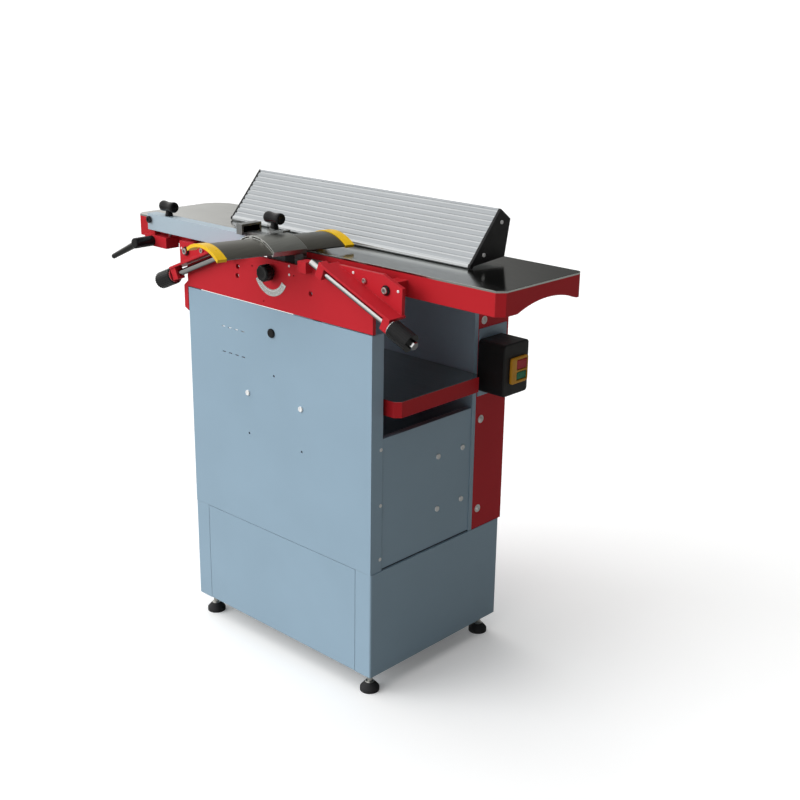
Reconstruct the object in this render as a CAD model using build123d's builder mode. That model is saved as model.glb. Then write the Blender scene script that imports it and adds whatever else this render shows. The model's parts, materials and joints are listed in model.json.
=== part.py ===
from build123d import *

import os
from math import asin, cos, degrees, radians, sin, sqrt, tan

# Planer-thicknesser on a sheet-metal stand, in millimetres. The origin is on the floor under the middle
# of the stand, +Z is up, +X points to the infeed end and -Y to the operator.

# Overall sizes
base_length = 570.0
base_depth = 417.0
table_length = 1095.0
table_width = 250.0
table_height = 920.0
fence_length = 715.0
fence_height = 137.0

# Stand, feet and body sheets
sheet = 2.0
stand_bottom = 48.0
stand_top = 287.0
stand_corner = 4.0
post_width = 45.0
foot_flange = 54.0
top_flange = 30.0
foot_inset = 27.0
foot_radius = 21.0
foot_stem = 6.0
panel_gap = 1.0
panel_inset = 1.5
front_return = 33.0
floor_thickness = 3.0
opening_drop = 343.0
bolt_radius = 3.0
bolt_clearance = 0.15

# Upper frame
frame_drop = 121.0
plate = 8.0
wall = 6.0
wall_clearance = 2.0
table_setback = 58.5
cover_depth = 102.0
cover_drop = 100.0
strip_reach = 6.0

# Tables
table_plate = 16.0
apron_depth = 49.0
apron_wall = 12.0
lip_gap = 38.0
apron_start = 135.0
hinge_setback = 50.0
hinge_drop = 35.0
hinge_pin = 6.0
hinge_knuckle = 12.0
hinge_arm = 18.0
hinge_places = (126.0, 244.0)
ear = 11.5
side_play = 0.3
turn_play = 0.05
pin_play = 0.02
lower_travel = 3.0

# Table lock rods, seen from the front: a line that falls outwards at rod_slope. Each rod's middle is given by
# its distance in from the end of the stand and its drop below the table, then its tip from there
rod_slope = 22.5
rod_radius = 7.0
rod_front = 10.5
infeed_rod = (41.5, 50.4, -127.0)
outfeed_rod = (71.5, 57.5, -101.0)
rod_collar = 110.5
grip_radius = 19.0
grip_length = 53.0
bracket_plate = 8.0
bracket_back = 37.0
flange_height = 14.0
flange_thickness = 5.0
flange_reach = 37.0
lug_places = (-91.0, 99.0)
lug_length = 18.0

# Cutterblock, rollers and drive
cutting_radius = 35.0
block_radius = 33.5
journal = 10.0
bearing_radius = 23.5
bearing_width = 14.0
roller_radius = 15.0
roller_x = 58.0
roller_drop = 56.0
roller_journal = 7.0
sprocket_tip = 33.0
chain_thickness = 5.5
chain_width = 6.0
running_gap = 0.4
pulley_radius = 24.0
motor_pulley_radius = 40.0
belt_thickness = 3.0
belt_width = 16.0
motor_x = 165.0
motor_rise = 147.0
motor_radius = 65.0
finger_rod = 6.0
finger_x = -104.0
finger_drop = 66.0
finger_count = 16
finger_pitch = 14.0

# Thickness table and its lift
lift_table_drop = 262.0
lift_table_height = 34.0
lift_table_plate = 12.0
lift_table_wall = 10.0
lift_overhang = 28.0
lift_front_gap = 43.5
lift_back_gap = 5.0
column_radius = 40.0
column_wall = 7.0
column_y = -32.0
lift_down = 20.0
lift_up = 150.0
screw_radius = 10.0
screw_inset = 85.0
screw_back = 63.0

# Fence
fence_offset = 31.5
fence_edge = -49.5
fence_rise = 5.5
fence_tilt = 41.0
fence_wall = 3.5
bead_radius = 5.0
bead_place = (5.0, 3.5)
cap_thickness = 6.0
groove_count = 10
groove_width = 4.0
groove_depth = 1.2
guide_x = -185.0
guide_width = 20.0
guide_length = 76.0
tongue_width = 30.0
tongue = 3.0

# Guard and its arm
guard_yaw = 13.0
guard_x = 6.6
guard_y = -218.4
guard_rise = 12.0
guard_length = 308.0
guard_width = 136.0
guard_crest = 17.0
guard_wall = 3.0
guard_cap = 20.0
sleeve_length = 76.0
sleeve_shift = 4.0
sleeve_wall = 6.0
sleeve_skin = 1.8
sleeve_lip = 2.0
sleeve_gap = 0.3
arm_y = (-183.0, -157.0)
arm_x = (-459.0, -115.0)
arm_z = (-22.0, 15.0)
arm_wall = 3.0
pivot_x = -450.0
pivot_rise = 2.0

# Switch
switch_depth = 70.0
switch_rest = 2.0
button_travel = 4.0
button_gap = 0.4

# Places worked out from the sizes above
side = base_length / 2
front = -base_depth / 2
back = base_depth / 2
top = table_height
body_top = top - frame_drop
table_front = front + table_setback
table_back = table_front + table_width
wall_front = table_back + wall_clearance
wall_back = wall_front + wall
table_end = table_length / 2
cutter_z = top - cutting_radius
hinge_y = table_back + hinge_setback
hinge_z = top - hinge_drop
apron_bottom = top - apron_depth
plate_bottom = top - table_plate
roller_z = top - roller_drop
cover_front = wall_back + strip_reach
cover_back = cover_front + cover_depth
cover_top = top - cover_drop
shell_side = side - panel_inset
opening_z = top - opening_drop
motor_z = stand_top + motor_rise
lift_top = top - lift_table_drop
lift_bottom = lift_top - lift_table_height
lift_end = side + lift_overhang
lift_front = front + lift_front_gap
lift_back = wall_front - lift_back_gap
screw_x = -(side - screw_inset)
screw_y = wall_front + screw_back
rod_y = front - rod_front
rods = {1: infeed_rod, -1: outfeed_rod}
bracket_y = table_front - bracket_back
floor_top = stand_top + floor_thickness

os.makedirs("parts", exist_ok=True)


def block(x, y, z, mode=Mode.ADD):
    """A box between the low and high ends given on each axis."""
    with Locations(((x[0] + x[1]) / 2, (y[0] + y[1]) / 2, (z[0] + z[1]) / 2)):
        Box(x[1] - x[0], y[1] - y[0], z[1] - z[0], mode=mode)


def bar_x(x, y, z, radius, mode=Mode.ADD):
    """A round bar along X."""
    with Locations(Location(((x[0] + x[1]) / 2, y, z), (0, 90, 0))):
        Cylinder(radius, x[1] - x[0], mode=mode)


def bar_y(x, y, z, radius, mode=Mode.ADD):
    """A round bar along Y."""
    with Locations(Location((x, (y[0] + y[1]) / 2, z), (90, 0, 0))):
        Cylinder(radius, y[1] - y[0], mode=mode)


def bar_z(x, y, z, radius, mode=Mode.ADD):
    """A round bar along Z."""
    with Locations((x, y, (z[0] + z[1]) / 2)):
        Cylinder(radius, z[1] - z[0], mode=mode)


# Stand: a folded box with corner posts at the front and flanges at both ends
post_edge = side - post_width
foot_x = base_length - 2 * foot_inset
foot_y = base_depth - 2 * foot_inset
inner_length = base_length - 2 * sheet
inner_depth = base_depth - 2 * sheet

with BuildPart() as stand_shell:
    with BuildSketch(Plane.XY.offset(stand_bottom)):
        RectangleRounded(base_length, base_depth, stand_corner)
        RectangleRounded(inner_length, inner_depth, stand_corner - sheet, mode=Mode.SUBTRACT)
    extrude(amount=stand_top - stand_bottom)
    block((-post_edge, post_edge), (front, front + sheet), (stand_bottom, stand_top), Mode.SUBTRACT)
    for z, flange in ((stand_bottom, foot_flange), (stand_top - sheet, top_flange)):
        with BuildSketch(Plane.XY.offset(z)):
            RectangleRounded(inner_length, inner_depth, stand_corner - sheet)
            Rectangle(base_length - 2 * flange, base_depth - 2 * flange, mode=Mode.SUBTRACT)
        extrude(amount=sheet)
    with Locations((0, 0, stand_bottom + sheet)):
        with GridLocations(foot_x, foot_y, 2, 2):
            Hole(foot_stem + bolt_clearance, depth=sheet)
stand_shell.part.label = "stand_shell"
export_step(stand_shell.part, "parts/stand_shell.step")

fold = 15.0
fold_clear = 4.0
with BuildPart() as stand_front_panel:
    edge = post_edge - panel_gap
    block((-edge, edge), (front, front + sheet), (stand_bottom + panel_gap, stand_top - panel_gap))
    for x in ((-edge, -edge + sheet), (edge - sheet, edge)):
        block(x, (front + sheet, front + fold), (stand_bottom + fold_clear, stand_top - fold_clear))
stand_front_panel.part.label = "stand_front_panel"
export_step(stand_front_panel.part, "parts/stand_front_panel.step")

pad_height = 8.0
pad_dome = 14.0
pad_neck = 9.0
nut_height = 9.0
nut_radius = 10.0
stem_rise = 26.0
stem_top = stand_bottom + stem_rise
with BuildPart() as levelling_feet:
    with GridLocations(foot_x, foot_y, 2, 2):
        Cylinder(foot_radius, pad_height, align=(Align.CENTER, Align.CENTER, Align.MIN))
    with Locations((0, 0, pad_height)):
        with GridLocations(foot_x, foot_y, 2, 2):
            Cone(foot_radius, pad_neck, pad_dome, align=(Align.CENTER, Align.CENTER, Align.MIN))
            Cylinder(foot_stem, stem_top - pad_height, align=(Align.CENTER, Align.CENTER, Align.MIN))
    for z in (stand_bottom - nut_height, stand_bottom + sheet):
        with BuildSketch(Plane.XY.offset(z)):
            with GridLocations(foot_x, foot_y, 2, 2):
                RegularPolygon(nut_radius, 6)
        extrude(amount=nut_height)
levelling_feet.part.label = "levelling_feet"
export_step(levelling_feet.part, "parts/levelling_feet.step")

# Body: floor plate, folded front panel, side panels and the rear wall
boss_radius = 18.0
boss_height = 22.0
screw_journal = 8.0
with BuildPart() as body_floor:
    floor_side = shell_side - 2 * sheet
    block((-floor_side, floor_side), (front + sheet, cover_back - sheet), (stand_top, floor_top))
    bar_z(screw_x, screw_y, (floor_top, floor_top + boss_height), boss_radius)
    bar_z(screw_x, screw_y, (stand_top, floor_top + boss_height), screw_journal + turn_play, Mode.SUBTRACT)
body_floor.part.label = "body_floor"
export_step(body_floor.part, "parts/body_floor.step")

plug_place = (-9.0, top - 175)
plug_hole = 8.0
drain_places = ((-4.0, top - 268), (-88.0, top - 417), (80.0, top - 416))
drain_hole = 2.5
panel_screws = ((-89.0, top - 324), (79.0, top - 321))
slot_rows = (top - 190, top - 247)
slot_start = -166.0
slot_pitch = 21.5
slot_size = (10.0, 2.0)
rivet_edge = 5.0
rivet_y = front + front_return - rivet_edge
rivet_levels = (stand_top + 28, stand_top + 148, stand_top + 269)
bolt_hole = bolt_radius + bolt_clearance
plate_seam = 2.0
panel_top = body_top - plate_seam
with BuildPart() as front_panel:
    block((-shell_side, shell_side), (front, front + sheet), (stand_top, panel_top))
    for x in ((-shell_side, -shell_side + sheet), (shell_side - sheet, shell_side)):
        block(x, (front + sheet, front + front_return), (stand_top, panel_top))
        for z in rivet_levels:
            bar_x(x, rivet_y, z, bolt_hole, Mode.SUBTRACT)
    holes = [(plug_place, plug_hole)]
    holes += [(place, drain_hole) for place in drain_places]
    holes += [(place, bolt_hole) for place in panel_screws]
    for (x, z), radius in holes:
        bar_y(x, (front, front + sheet), z, radius, Mode.SUBTRACT)
    with BuildSketch(Plane.XZ.offset(-front - sheet)):
        for row in slot_rows:
            with Locations((slot_start + 1.5 * slot_pitch, row)):
                with GridLocations(slot_pitch, 1, 4, 1):
                    Rectangle(*slot_size)
    extrude(amount=sheet, mode=Mode.SUBTRACT)
front_panel.part.label = "front_panel"
export_step(front_panel.part, "parts/front_panel.step")

panel_lift = 4.0
panel_bottom = stand_top + panel_lift
bolt_pitch = (79.0, 120.0)
motor_bolts_y = 35.5
panel_out = shell_side - sheet
lip = 14.0
motor_bolts = [
    (motor_bolts_y + sy * bolt_pitch[0] / 2, motor_z + sz * bolt_pitch[1] / 2)
    for sy in (-1, 1)
    for sz in (-1, 1)
]
with BuildPart() as side_panels:
    for sign in (-1, 1):
        x = sorted((sign * panel_out, sign * (panel_out - sheet)))
        block(x, (front + sheet + panel_gap, wall_front), (panel_bottom, opening_z))
        lip_x = sorted((sign * (panel_out - sheet), sign * (panel_out - lip)))
        block(lip_x, (front + front_return, wall_front), (opening_z - sheet, opening_z))
        for z in rivet_levels:
            bar_x(x, rivet_y, z, bolt_hole, Mode.SUBTRACT)
    for y, z in motor_bolts:
        bar_x((panel_out - sheet, panel_out), y, z, bolt_hole, Mode.SUBTRACT)
side_panels.part.label = "side_panels"
export_step(side_panels.part, "parts/side_panels.step")

wall_drop = 19.0
wall_low = hinge_z - wall_drop
hump_rise = 17.0
wall_high = cutter_z + hump_rise
wall_hump = 90.0
return_depth = 38.0
journal_clear = 3.0
arm_half = 12.0
arm_height = 16.0
slot_clear = 4.0
guide_bolts = (165.0, 205.0)
guide_bolt = 5.0
guide_bolt_drop = 40.0
guide_bolt_z = hinge_z - guide_bolt_drop
cover_bolt_inset = 18.0
cover_bolt_y = cover_front + cover_bolt_inset
cover_bolt_levels = (stand_top + 47, stand_top + 258, stand_top + 480)
shaft_clear = 15.0
with BuildPart() as rear_wall:
    block((-panel_out, panel_out), (wall_front, wall_back), (floor_top, wall_low))
    block((-wall_hump, wall_hump), (wall_front, wall_back), (wall_low, wall_high))
    for sign in (-1, 1):
        strip = sorted((sign * panel_out, sign * shell_side))
        block(strip, (wall_front, cover_front), (stand_top, panel_top))
        fold_x = sorted((sign * panel_out, sign * (panel_out - sheet)))
        block(fold_x, (wall_back, wall_back + return_depth), (floor_top, cover_top - 2 * sheet))
        for z in cover_bolt_levels:
            bar_x(fold_x, cover_bolt_y, z, bolt_hole, Mode.SUBTRACT)
        bar_y(sign * roller_x, (wall_front, wall_back), roller_z, roller_journal + turn_play, Mode.SUBTRACT)
    bar_y(0, (wall_front, wall_back), cutter_z, journal + journal_clear, Mode.SUBTRACT)
    bar_y(motor_x, (wall_front, wall_back), motor_z, shaft_clear, Mode.SUBTRACT)
    for x in guide_bolts:
        bar_y(x, (wall_front, wall_back), guide_bolt_z, guide_bolt + turn_play, Mode.SUBTRACT)
    slot_x = (screw_x - arm_half - slot_clear, screw_x + arm_half + slot_clear)
    slot_z = (lift_bottom - lift_down - slot_clear, lift_bottom + arm_height + lift_up + slot_clear)
    block(slot_x, (wall_front, wall_back), slot_z, Mode.SUBTRACT)
rear_wall.part.label = "rear_wall"
export_step(rear_wall.part, "parts/rear_wall.step")

# Upper front plate: slanted shoulders under the lock rods, roller bushes inside, catch lugs at the top and
# a tab that hangs over the left edge of the front panel
plate_top = top - 18
shoulder_x = 150.0
shoulder_drop = (side - shoulder_x) * tan(radians(rod_slope))
tab_reach = 14.0
tab_rise = 12.0
tab_drop = 56.0
tab_slant = 6.0
tab_gap = 0.5
bush_radius = 14.0
bush_length = 22.0
bush_floor = 2.0
knob_x = -7.0
knob_z = top - 44
knob_shaft = 6.0
plate_holes = ((-113.0, top - 50), (-115.0, top - 70), (111.0, top - 70))
plate_hole = 5.5
pin_holes = ((-66.0, top - 41), (62.0, top - 41), (-31.0, top - 110))
pin_hole = 1.8
catch = ((92.0, 116.0), (top - 26, top - 3))
catch_depth = 17.0
with BuildPart() as upper_front_plate:
    with BuildSketch(Plane.XZ.offset(-front - plate)):
        with BuildLine():
            Polyline(
                (-side, body_top),
                (side, body_top),
                (side, plate_top - shoulder_drop),
                (shoulder_x, plate_top),
                (-shoulder_x, plate_top),
                (-side, plate_top - shoulder_drop),
                (-side, body_top + tab_rise),
                (-side - tab_reach, body_top),
                (-side - tab_reach, body_top - tab_drop + tab_slant),
                (-side - tab_gap, body_top - tab_drop),
                (-side - tab_gap, body_top),
                close=True,
            )
        make_face()
        with Locations(*plate_holes):
            Circle(plate_hole, mode=Mode.SUBTRACT)
        with Locations(*pin_holes):
            Circle(pin_hole, mode=Mode.SUBTRACT)
        with Locations((knob_x, knob_z)):
            Circle(knob_shaft + turn_play, mode=Mode.SUBTRACT)
    extrude(amount=plate)
    bush_y = (front + plate, front + plate + bush_length)
    bore_y = (bush_y[0] + bush_floor, bush_y[1])
    for sign in (-1, 1):
        bar_y(sign * roller_x, bush_y, roller_z, bush_radius)
        bar_y(sign * roller_x, bore_y, roller_z, roller_journal + turn_play, Mode.SUBTRACT)
        catch_x = sorted((sign * catch[0][0], sign * catch[0][1]))
        block(catch_x, (front - catch_depth, front + plate), catch[1])
upper_front_plate.part.label = "upper_front_plate"
export_step(upper_front_plate.part, "parts/upper_front_plate.step")

# Rear cover: a box over the drive, with a housing over the chain and a narrow tower over the top pulley
housing_half = 102.0
housing_rise = 21.0
housing_depth = 66.0
housing_gap = 0.5
tower_half = 34.0
tower_rise = 31.0
housing_top = cutter_z + housing_rise
tower_top = cutter_z + tower_rise
housing_back = cover_front + housing_depth
housing_front = wall_back + housing_gap
with BuildPart() as rear_cover:
    block((-shell_side, shell_side), (cover_front, cover_back), (stand_top, cover_top))
    block((-housing_half, housing_half), (housing_front, housing_back), (cover_top - sheet, housing_top))
    block((-tower_half, tower_half), (housing_front, housing_back), (cover_top - sheet, tower_top))
    cavity = cover_back - sheet
    block((-panel_out, panel_out), (cover_front, cavity), (stand_top, cover_top - sheet), Mode.SUBTRACT)
    for half, height in ((housing_half, housing_top), (tower_half, tower_top)):
        x = (-half + sheet, half - sheet)
        block(x, (housing_front, housing_back - sheet), (cover_top - sheet, height - sheet), Mode.SUBTRACT)
    bar_z(screw_x, screw_y, (cover_top - sheet, cover_top), screw_radius + turn_play, Mode.SUBTRACT)
    for sign in (-1, 1):
        x = sorted((sign * panel_out, sign * shell_side))
        for z in cover_bolt_levels:
            bar_x(x, cover_bolt_y, z, bolt_hole, Mode.SUBTRACT)
rear_cover.part.label = "rear_cover"
export_step(rear_cover.part, "parts/rear_cover.step")

# Screws, bolts with washers, rivets and guide bolts of the fixed frame
head_height = 3.0
head_radius = 6.0
washer_radius = 9.0
washer = 1.5
rivet_head = 4.0
rivet_height = 1.5
rivet_tail = 1.0
bolt_tail = 4.0
guide_head = 9.0
guide_head_height = 6.0
guide_tail = 2.0
hinge_plate = 8.0
bracket_wall = 8.0
with BuildPart() as panel_fasteners:
    for x, z in panel_screws:
        bar_y(x, (front - head_height, front), z, head_radius)
        bar_y(x, (front, front + sheet + bolt_tail), z, bolt_radius)
    for y, z in motor_bolts:
        bar_x((panel_out, panel_out + head_height), y, z, head_radius)
        bar_x((panel_out - sheet - bracket_wall, panel_out), y, z, bolt_radius)
    for sign in (-1, 1):
        for z in rivet_levels:
            bar_x(sorted((sign * shell_side, sign * (shell_side + rivet_height))), rivet_y, z, rivet_head)
            rivet_x = sorted((sign * (panel_out - sheet - rivet_tail), sign * shell_side))
            bar_x(rivet_x, rivet_y, z, bolt_radius)
        for z in cover_bolt_levels:
            seat = shell_side + washer
            bolt_x = sorted((sign * (panel_out - sheet - bolt_tail), sign * seat))
            bar_x(sorted((sign * shell_side, sign * seat)), cover_bolt_y, z, washer_radius)
            bar_x(sorted((sign * seat, sign * (seat + head_height))), cover_bolt_y, z, head_radius)
            bar_x(bolt_x, cover_bolt_y, z, bolt_radius)
    for x in guide_bolts:
        seat = wall_back + 2 * side_play + hinge_plate
        bar_y(x, (wall_front - guide_tail, seat), guide_bolt_z, guide_bolt)
        bar_y(x, (seat, seat + guide_head_height), guide_bolt_z, guide_head)
panel_fasteners.part.label = "panel_fasteners"
export_step(panel_fasteners.part, "parts/panel_fasteners.step")

plug_rim = 10.0
plug_height = 4.0
plug_tail = 5.0
plug_edge = 2.5
with BuildPart() as panel_plug:
    bar_y(plug_place[0], (front - plug_height, front), plug_place[1], plug_rim)
    bar_y(plug_place[0], (front, front + sheet + plug_tail), plug_place[1], plug_hole - bolt_clearance)
    fillet(panel_plug.faces().sort_by(Axis.Y)[0].edges(), plug_edge)
panel_plug.part.label = "panel_plug"
export_step(panel_plug.part, "parts/panel_plug.step")

# Cutterblock between two bearing housings, with three knives and a pulley at the back
bearing_rim = 4.5
housing_reach = bearing_radius + bearing_rim
front_housing_depth = 26.0
rear_housing_depth = 20.0
housing_web = 3.0
front_housing = (front + plate, front + plate + front_housing_depth)
rear_housing = (wall_back, wall_back + rear_housing_depth)
with BuildPart() as bearing_housings:
    housing_z = (cutter_z - housing_reach, cutter_z + housing_reach)
    for y in (front_housing, rear_housing):
        block((-housing_reach, housing_reach), y, housing_z)
    front_seat = (front_housing[1] - bearing_width, front_housing[1])
    rear_seat = (rear_housing[0], rear_housing[0] + bearing_width)
    for y in (front_seat, rear_seat):
        bar_y(0, y, cutter_z, bearing_radius, Mode.SUBTRACT)
    for y in ((front_housing[0] + housing_web, front_housing[1]), rear_housing):
        bar_y(0, y, cutter_z, journal + journal_clear, Mode.SUBTRACT)
bearing_housings.part.label = "bearing_housings"
export_step(bearing_housings.part, "parts/bearing_housings.step")

with BuildPart() as cutter_bearings:
    for y in (front_seat, rear_seat):
        bar_y(0, y, cutter_z, bearing_radius)
        bar_y(0, y, cutter_z, journal + turn_play, Mode.SUBTRACT)
cutter_bearings.part.label = "cutter_bearings"
export_step(cutter_bearings.part, "parts/cutter_bearings.step")

chain_clear = 2.0
belt_clear = 7.0
pulley_edge = 1.0
shaft_tail = 2.0
block_clear = 2.0
chain_y = (rear_housing[1] + chain_clear, rear_housing[1] + chain_clear + chain_width)
belt_y = (chain_y[1] + belt_clear, chain_y[1] + belt_clear + belt_width)
pulley_y = (belt_y[0] - pulley_edge, belt_y[1] + pulley_edge)
block_y = (table_front + block_clear, table_back - block_clear)
knife_count = 3
knife_angle = 30.0
knife_slot = 12.0
knife_thickness = 3.0
knife_depth = 12.0
with BuildPart() as cutterblock:
    bar_y(0, block_y, cutter_z, block_radius)
    bar_y(0, (front_housing[0] + housing_web + side_play, pulley_y[1] + shaft_tail), cutter_z, journal)
    with BuildSketch(Plane.XZ.offset(-block_y[1])):
        with Locations((0, cutter_z)):
            with PolarLocations(block_radius, knife_count, start_angle=knife_angle):
                Rectangle(2 * knife_depth, knife_slot)
    extrude(amount=block_y[1] - block_y[0], mode=Mode.SUBTRACT)
cutterblock.part.label = "cutterblock"
export_step(cutterblock.part, "parts/cutterblock.step")

wedge = knife_slot - knife_thickness
wedge_sink = 2.0
with BuildPart() as cutter_knives:
    inner = block_radius - knife_depth
    knife_tip = sqrt(cutting_radius**2 - (knife_slot / 2) ** 2)
    wedge_tip = block_radius - wedge_sink
    with BuildSketch(Plane.XZ.offset(-block_y[1])):
        with Locations((0, cutter_z)):
            with PolarLocations(0, knife_count, start_angle=knife_angle):
                with Locations(((inner + knife_tip) / 2, wedge / 2)):
                    Rectangle(knife_tip - inner, knife_thickness)
                with Locations(((inner + wedge_tip) / 2, -knife_thickness / 2)):
                    Rectangle(wedge_tip - inner, wedge)
    extrude(amount=block_y[1] - block_y[0])
cutter_knives.part.label = "cutter_knives"
export_step(cutter_knives.part, "parts/cutter_knives.step")

pulley_rim = 2.0
with BuildPart() as cutter_pulley:
    bar_y(0, pulley_y, cutter_z, pulley_radius)
    for y in ((pulley_y[0], belt_y[0] - running_gap), (belt_y[1] + running_gap, pulley_y[1])):
        bar_y(0, y, cutter_z, pulley_radius + pulley_rim)
    bar_y(0, pulley_y, cutter_z, journal, Mode.SUBTRACT)
cutter_pulley.part.label = "cutter_pulley"
export_step(cutter_pulley.part, "parts/cutter_pulley.step")

# Motor hung from the right side panel, with its pulley and the drive belt
motor_length = 204.5
motor_gap = 8.0
motor_y = (wall_front - motor_gap - motor_length, wall_front - motor_gap)
motor_edge = 11.0
motor_foot = 6.0
foot_half_y = 40.0
foot_half_z = 30.0
shaft_radius = 12.0
shaft_depth = 30.0
foot_y_ends = (motor_bolts_y - foot_half_y, motor_bolts_y + foot_half_y)
foot_z_ends = (motor_z - foot_half_z, motor_z + foot_half_z)
foot_face = motor_x + motor_radius + motor_foot
with BuildPart() as motor:
    bar_y(motor_x, motor_y, motor_z, motor_radius)
    fillet(motor.edges().filter_by(GeomType.CIRCLE), motor_edge)
    block((motor_x, foot_face), foot_y_ends, foot_z_ends)
    bar_y(motor_x, (motor_y[1] - shaft_depth, motor_y[1]), motor_z, shaft_radius + turn_play, Mode.SUBTRACT)
motor.part.label = "motor"
export_step(motor.part, "parts/motor.step")

bracket_margin = 15.0
bracket_web = 10.0
with BuildPart() as motor_bracket:
    outer = panel_out - sheet
    reach_y = bolt_pitch[0] / 2 + bracket_margin
    reach_z = bolt_pitch[1] / 2 + bracket_margin
    plate_y = (motor_bolts_y - reach_y, motor_bolts_y + reach_y)
    block((outer - bracket_wall, outer), plate_y, (motor_z - reach_z, motor_z + reach_z))
    for z in ((foot_z_ends[0], foot_z_ends[0] + bracket_web), (foot_z_ends[1] - bracket_web, foot_z_ends[1])):
        block((foot_face, outer - bracket_wall), foot_y_ends, z)
    block((foot_face, foot_face + bracket_wall), foot_y_ends, foot_z_ends)
    for y, z in motor_bolts:
        bar_x((outer - bracket_wall, outer), y, z, bolt_hole, Mode.SUBTRACT)
motor_bracket.part.label = "motor_bracket"
export_step(motor_bracket.part, "parts/motor_bracket.step")

with BuildPart() as motor_pulley:
    bar_y(motor_x, (motor_y[1] - shaft_depth + side_play, pulley_y[1] + shaft_tail), motor_z, shaft_radius)
    bar_y(motor_x, pulley_y, motor_z, motor_pulley_radius)
    for y in ((pulley_y[0], belt_y[0] - running_gap), (belt_y[1] + running_gap, pulley_y[1])):
        bar_y(motor_x, y, motor_z, motor_pulley_radius + pulley_rim)
motor_pulley.part.label = "motor_pulley"
export_step(motor_pulley.part, "parts/motor_pulley.step")

with BuildPart() as drive_belt:
    with BuildSketch(Plane.XZ.offset(-belt_y[1])):
        for extra, mode in ((running_gap + belt_thickness, Mode.ADD), (running_gap, Mode.SUBTRACT)):
            with BuildSketch(mode=Mode.PRIVATE) as loop:
                with Locations((0, cutter_z)):
                    Circle(pulley_radius + extra)
                with Locations((motor_x, motor_z)):
                    Circle(motor_pulley_radius + extra)
                make_hull()
            add(loop.sketch, mode=mode)
    extrude(amount=belt_width)
drive_belt.part.label = "drive_belt"
export_step(drive_belt.part, "parts/drive_belt.step")

# Feed rollers with sprockets, joined by a chain behind the rear wall
sprocket_teeth = 18
tooth = 4.0
roller_ribs = 24
rib_cut = (2.4, 1.6)
roller_clear = (8.0, 6.0)
roller_y = (bush_y[1] + roller_clear[0], wall_front - roller_clear[1])


def feed_roller(x):
    """A ribbed steel roller with its journals and sprocket."""
    with BuildPart() as roller:
        bar_y(x, roller_y, roller_z, roller_radius)
        bar_y(x, (bore_y[0] + side_play, chain_y[1] + shaft_tail), roller_z, roller_journal)
        with BuildSketch(Plane.XZ.offset(-roller_y[1])):
            with Locations((x, roller_z)):
                with PolarLocations(roller_radius, roller_ribs):
                    Rectangle(*rib_cut)
        extrude(amount=roller_y[1] - roller_y[0], mode=Mode.SUBTRACT)
        with BuildSketch(Plane.XZ.offset(-chain_y[1])):
            with Locations((x, roller_z)):
                Circle(sprocket_tip)
                with PolarLocations(sprocket_tip, sprocket_teeth):
                    Circle(tooth, mode=Mode.SUBTRACT)
        extrude(amount=chain_width)
    return roller


infeed_roller = feed_roller(-roller_x)
infeed_roller.part.label = "infeed_roller"
export_step(infeed_roller.part, "parts/infeed_roller.step")

outfeed_roller = feed_roller(roller_x)
outfeed_roller.part.label = "outfeed_roller"
export_step(outfeed_roller.part, "parts/outfeed_roller.step")

with BuildPart() as feed_chain:
    with BuildSketch(Plane.XZ.offset(-chain_y[1])):
        with Locations((0, roller_z)):
            inside = 2 * (sprocket_tip + running_gap)
            SlotCenterToCenter(2 * roller_x, inside + 2 * chain_thickness)
            SlotCenterToCenter(2 * roller_x, inside, mode=Mode.SUBTRACT)
    extrude(amount=chain_width)
feed_chain.part.label = "feed_chain"
export_step(feed_chain.part, "parts/feed_chain.step")

finger_z = top - finger_drop
finger_hub = 10.0
finger_length = 30.0
finger_width = 10.0
finger_rake = 3.0
finger_notch = 6.0
finger_inset = 15.0
finger_first = table_front + finger_inset
with BuildPart() as kickback_rod:
    bar_y(finger_x, (front + plate, wall_front), finger_z, finger_rod)
kickback_rod.part.label = "kickback_rod"
export_step(kickback_rod.part, "parts/kickback_rod.step")

with BuildPart() as kickback_fingers:
    for i in range(finger_count):
        y = finger_first + i * finger_pitch
        with BuildSketch(Plane.XZ.offset(-y - finger_width)):
            with BuildLine():
                Polyline(
                    (finger_x + finger_hub, finger_z),
                    (finger_x + finger_hub - finger_rake, finger_z - finger_length),
                    (finger_x, finger_z - finger_length + finger_notch),
                    (finger_x - finger_hub, finger_z),
                    close=True,
                )
            make_face()
            with Locations((finger_x, finger_z)):
                Circle(finger_hub)
                Circle(finger_rod + turn_play, mode=Mode.SUBTRACT)
        extrude(amount=finger_width)
kickback_fingers.part.label = "kickback_fingers"
export_step(kickback_fingers.part, "parts/kickback_fingers.step")

# Thickness table on a column, lifted by a screw at the back
tube_clear = 5.0
tube_bottom = floor_top + lift_down + tube_clear
tube_inner = column_radius - column_wall
lift_chamfer = 12.0
nut_boss = 20.0
with BuildPart() as thickness_table:
    with BuildSketch(Plane.XY.offset(lift_bottom)):
        with Locations((0, (lift_front + lift_back) / 2)):
            Rectangle(2 * lift_end, lift_back - lift_front)
        chamfer(vertices(), lift_chamfer)
    extrude(amount=lift_table_height)
    inner_x = (-lift_end + lift_table_wall, lift_end - lift_table_wall)
    inner_y = (lift_front + lift_table_wall, lift_back - lift_table_wall)
    block(inner_x, inner_y, (lift_bottom, lift_top - lift_table_plate), Mode.SUBTRACT)
    bar_z(0, column_y, (tube_bottom, lift_top - lift_table_plate), column_radius)
    bar_z(0, column_y, (tube_bottom, lift_top - lift_table_plate), tube_inner, Mode.SUBTRACT)
    nut_z = (lift_bottom, lift_bottom + arm_height)
    block((screw_x - arm_half, screw_x + arm_half), (lift_back - lift_table_wall, screw_y), nut_z)
    bar_z(screw_x, screw_y, nut_z, nut_boss)
    bar_z(screw_x, screw_y, nut_z, screw_radius + turn_play, Mode.SUBTRACT)
thickness_table.part.label = "thickness_table"
export_step(thickness_table.part, "parts/thickness_table.step")

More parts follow.
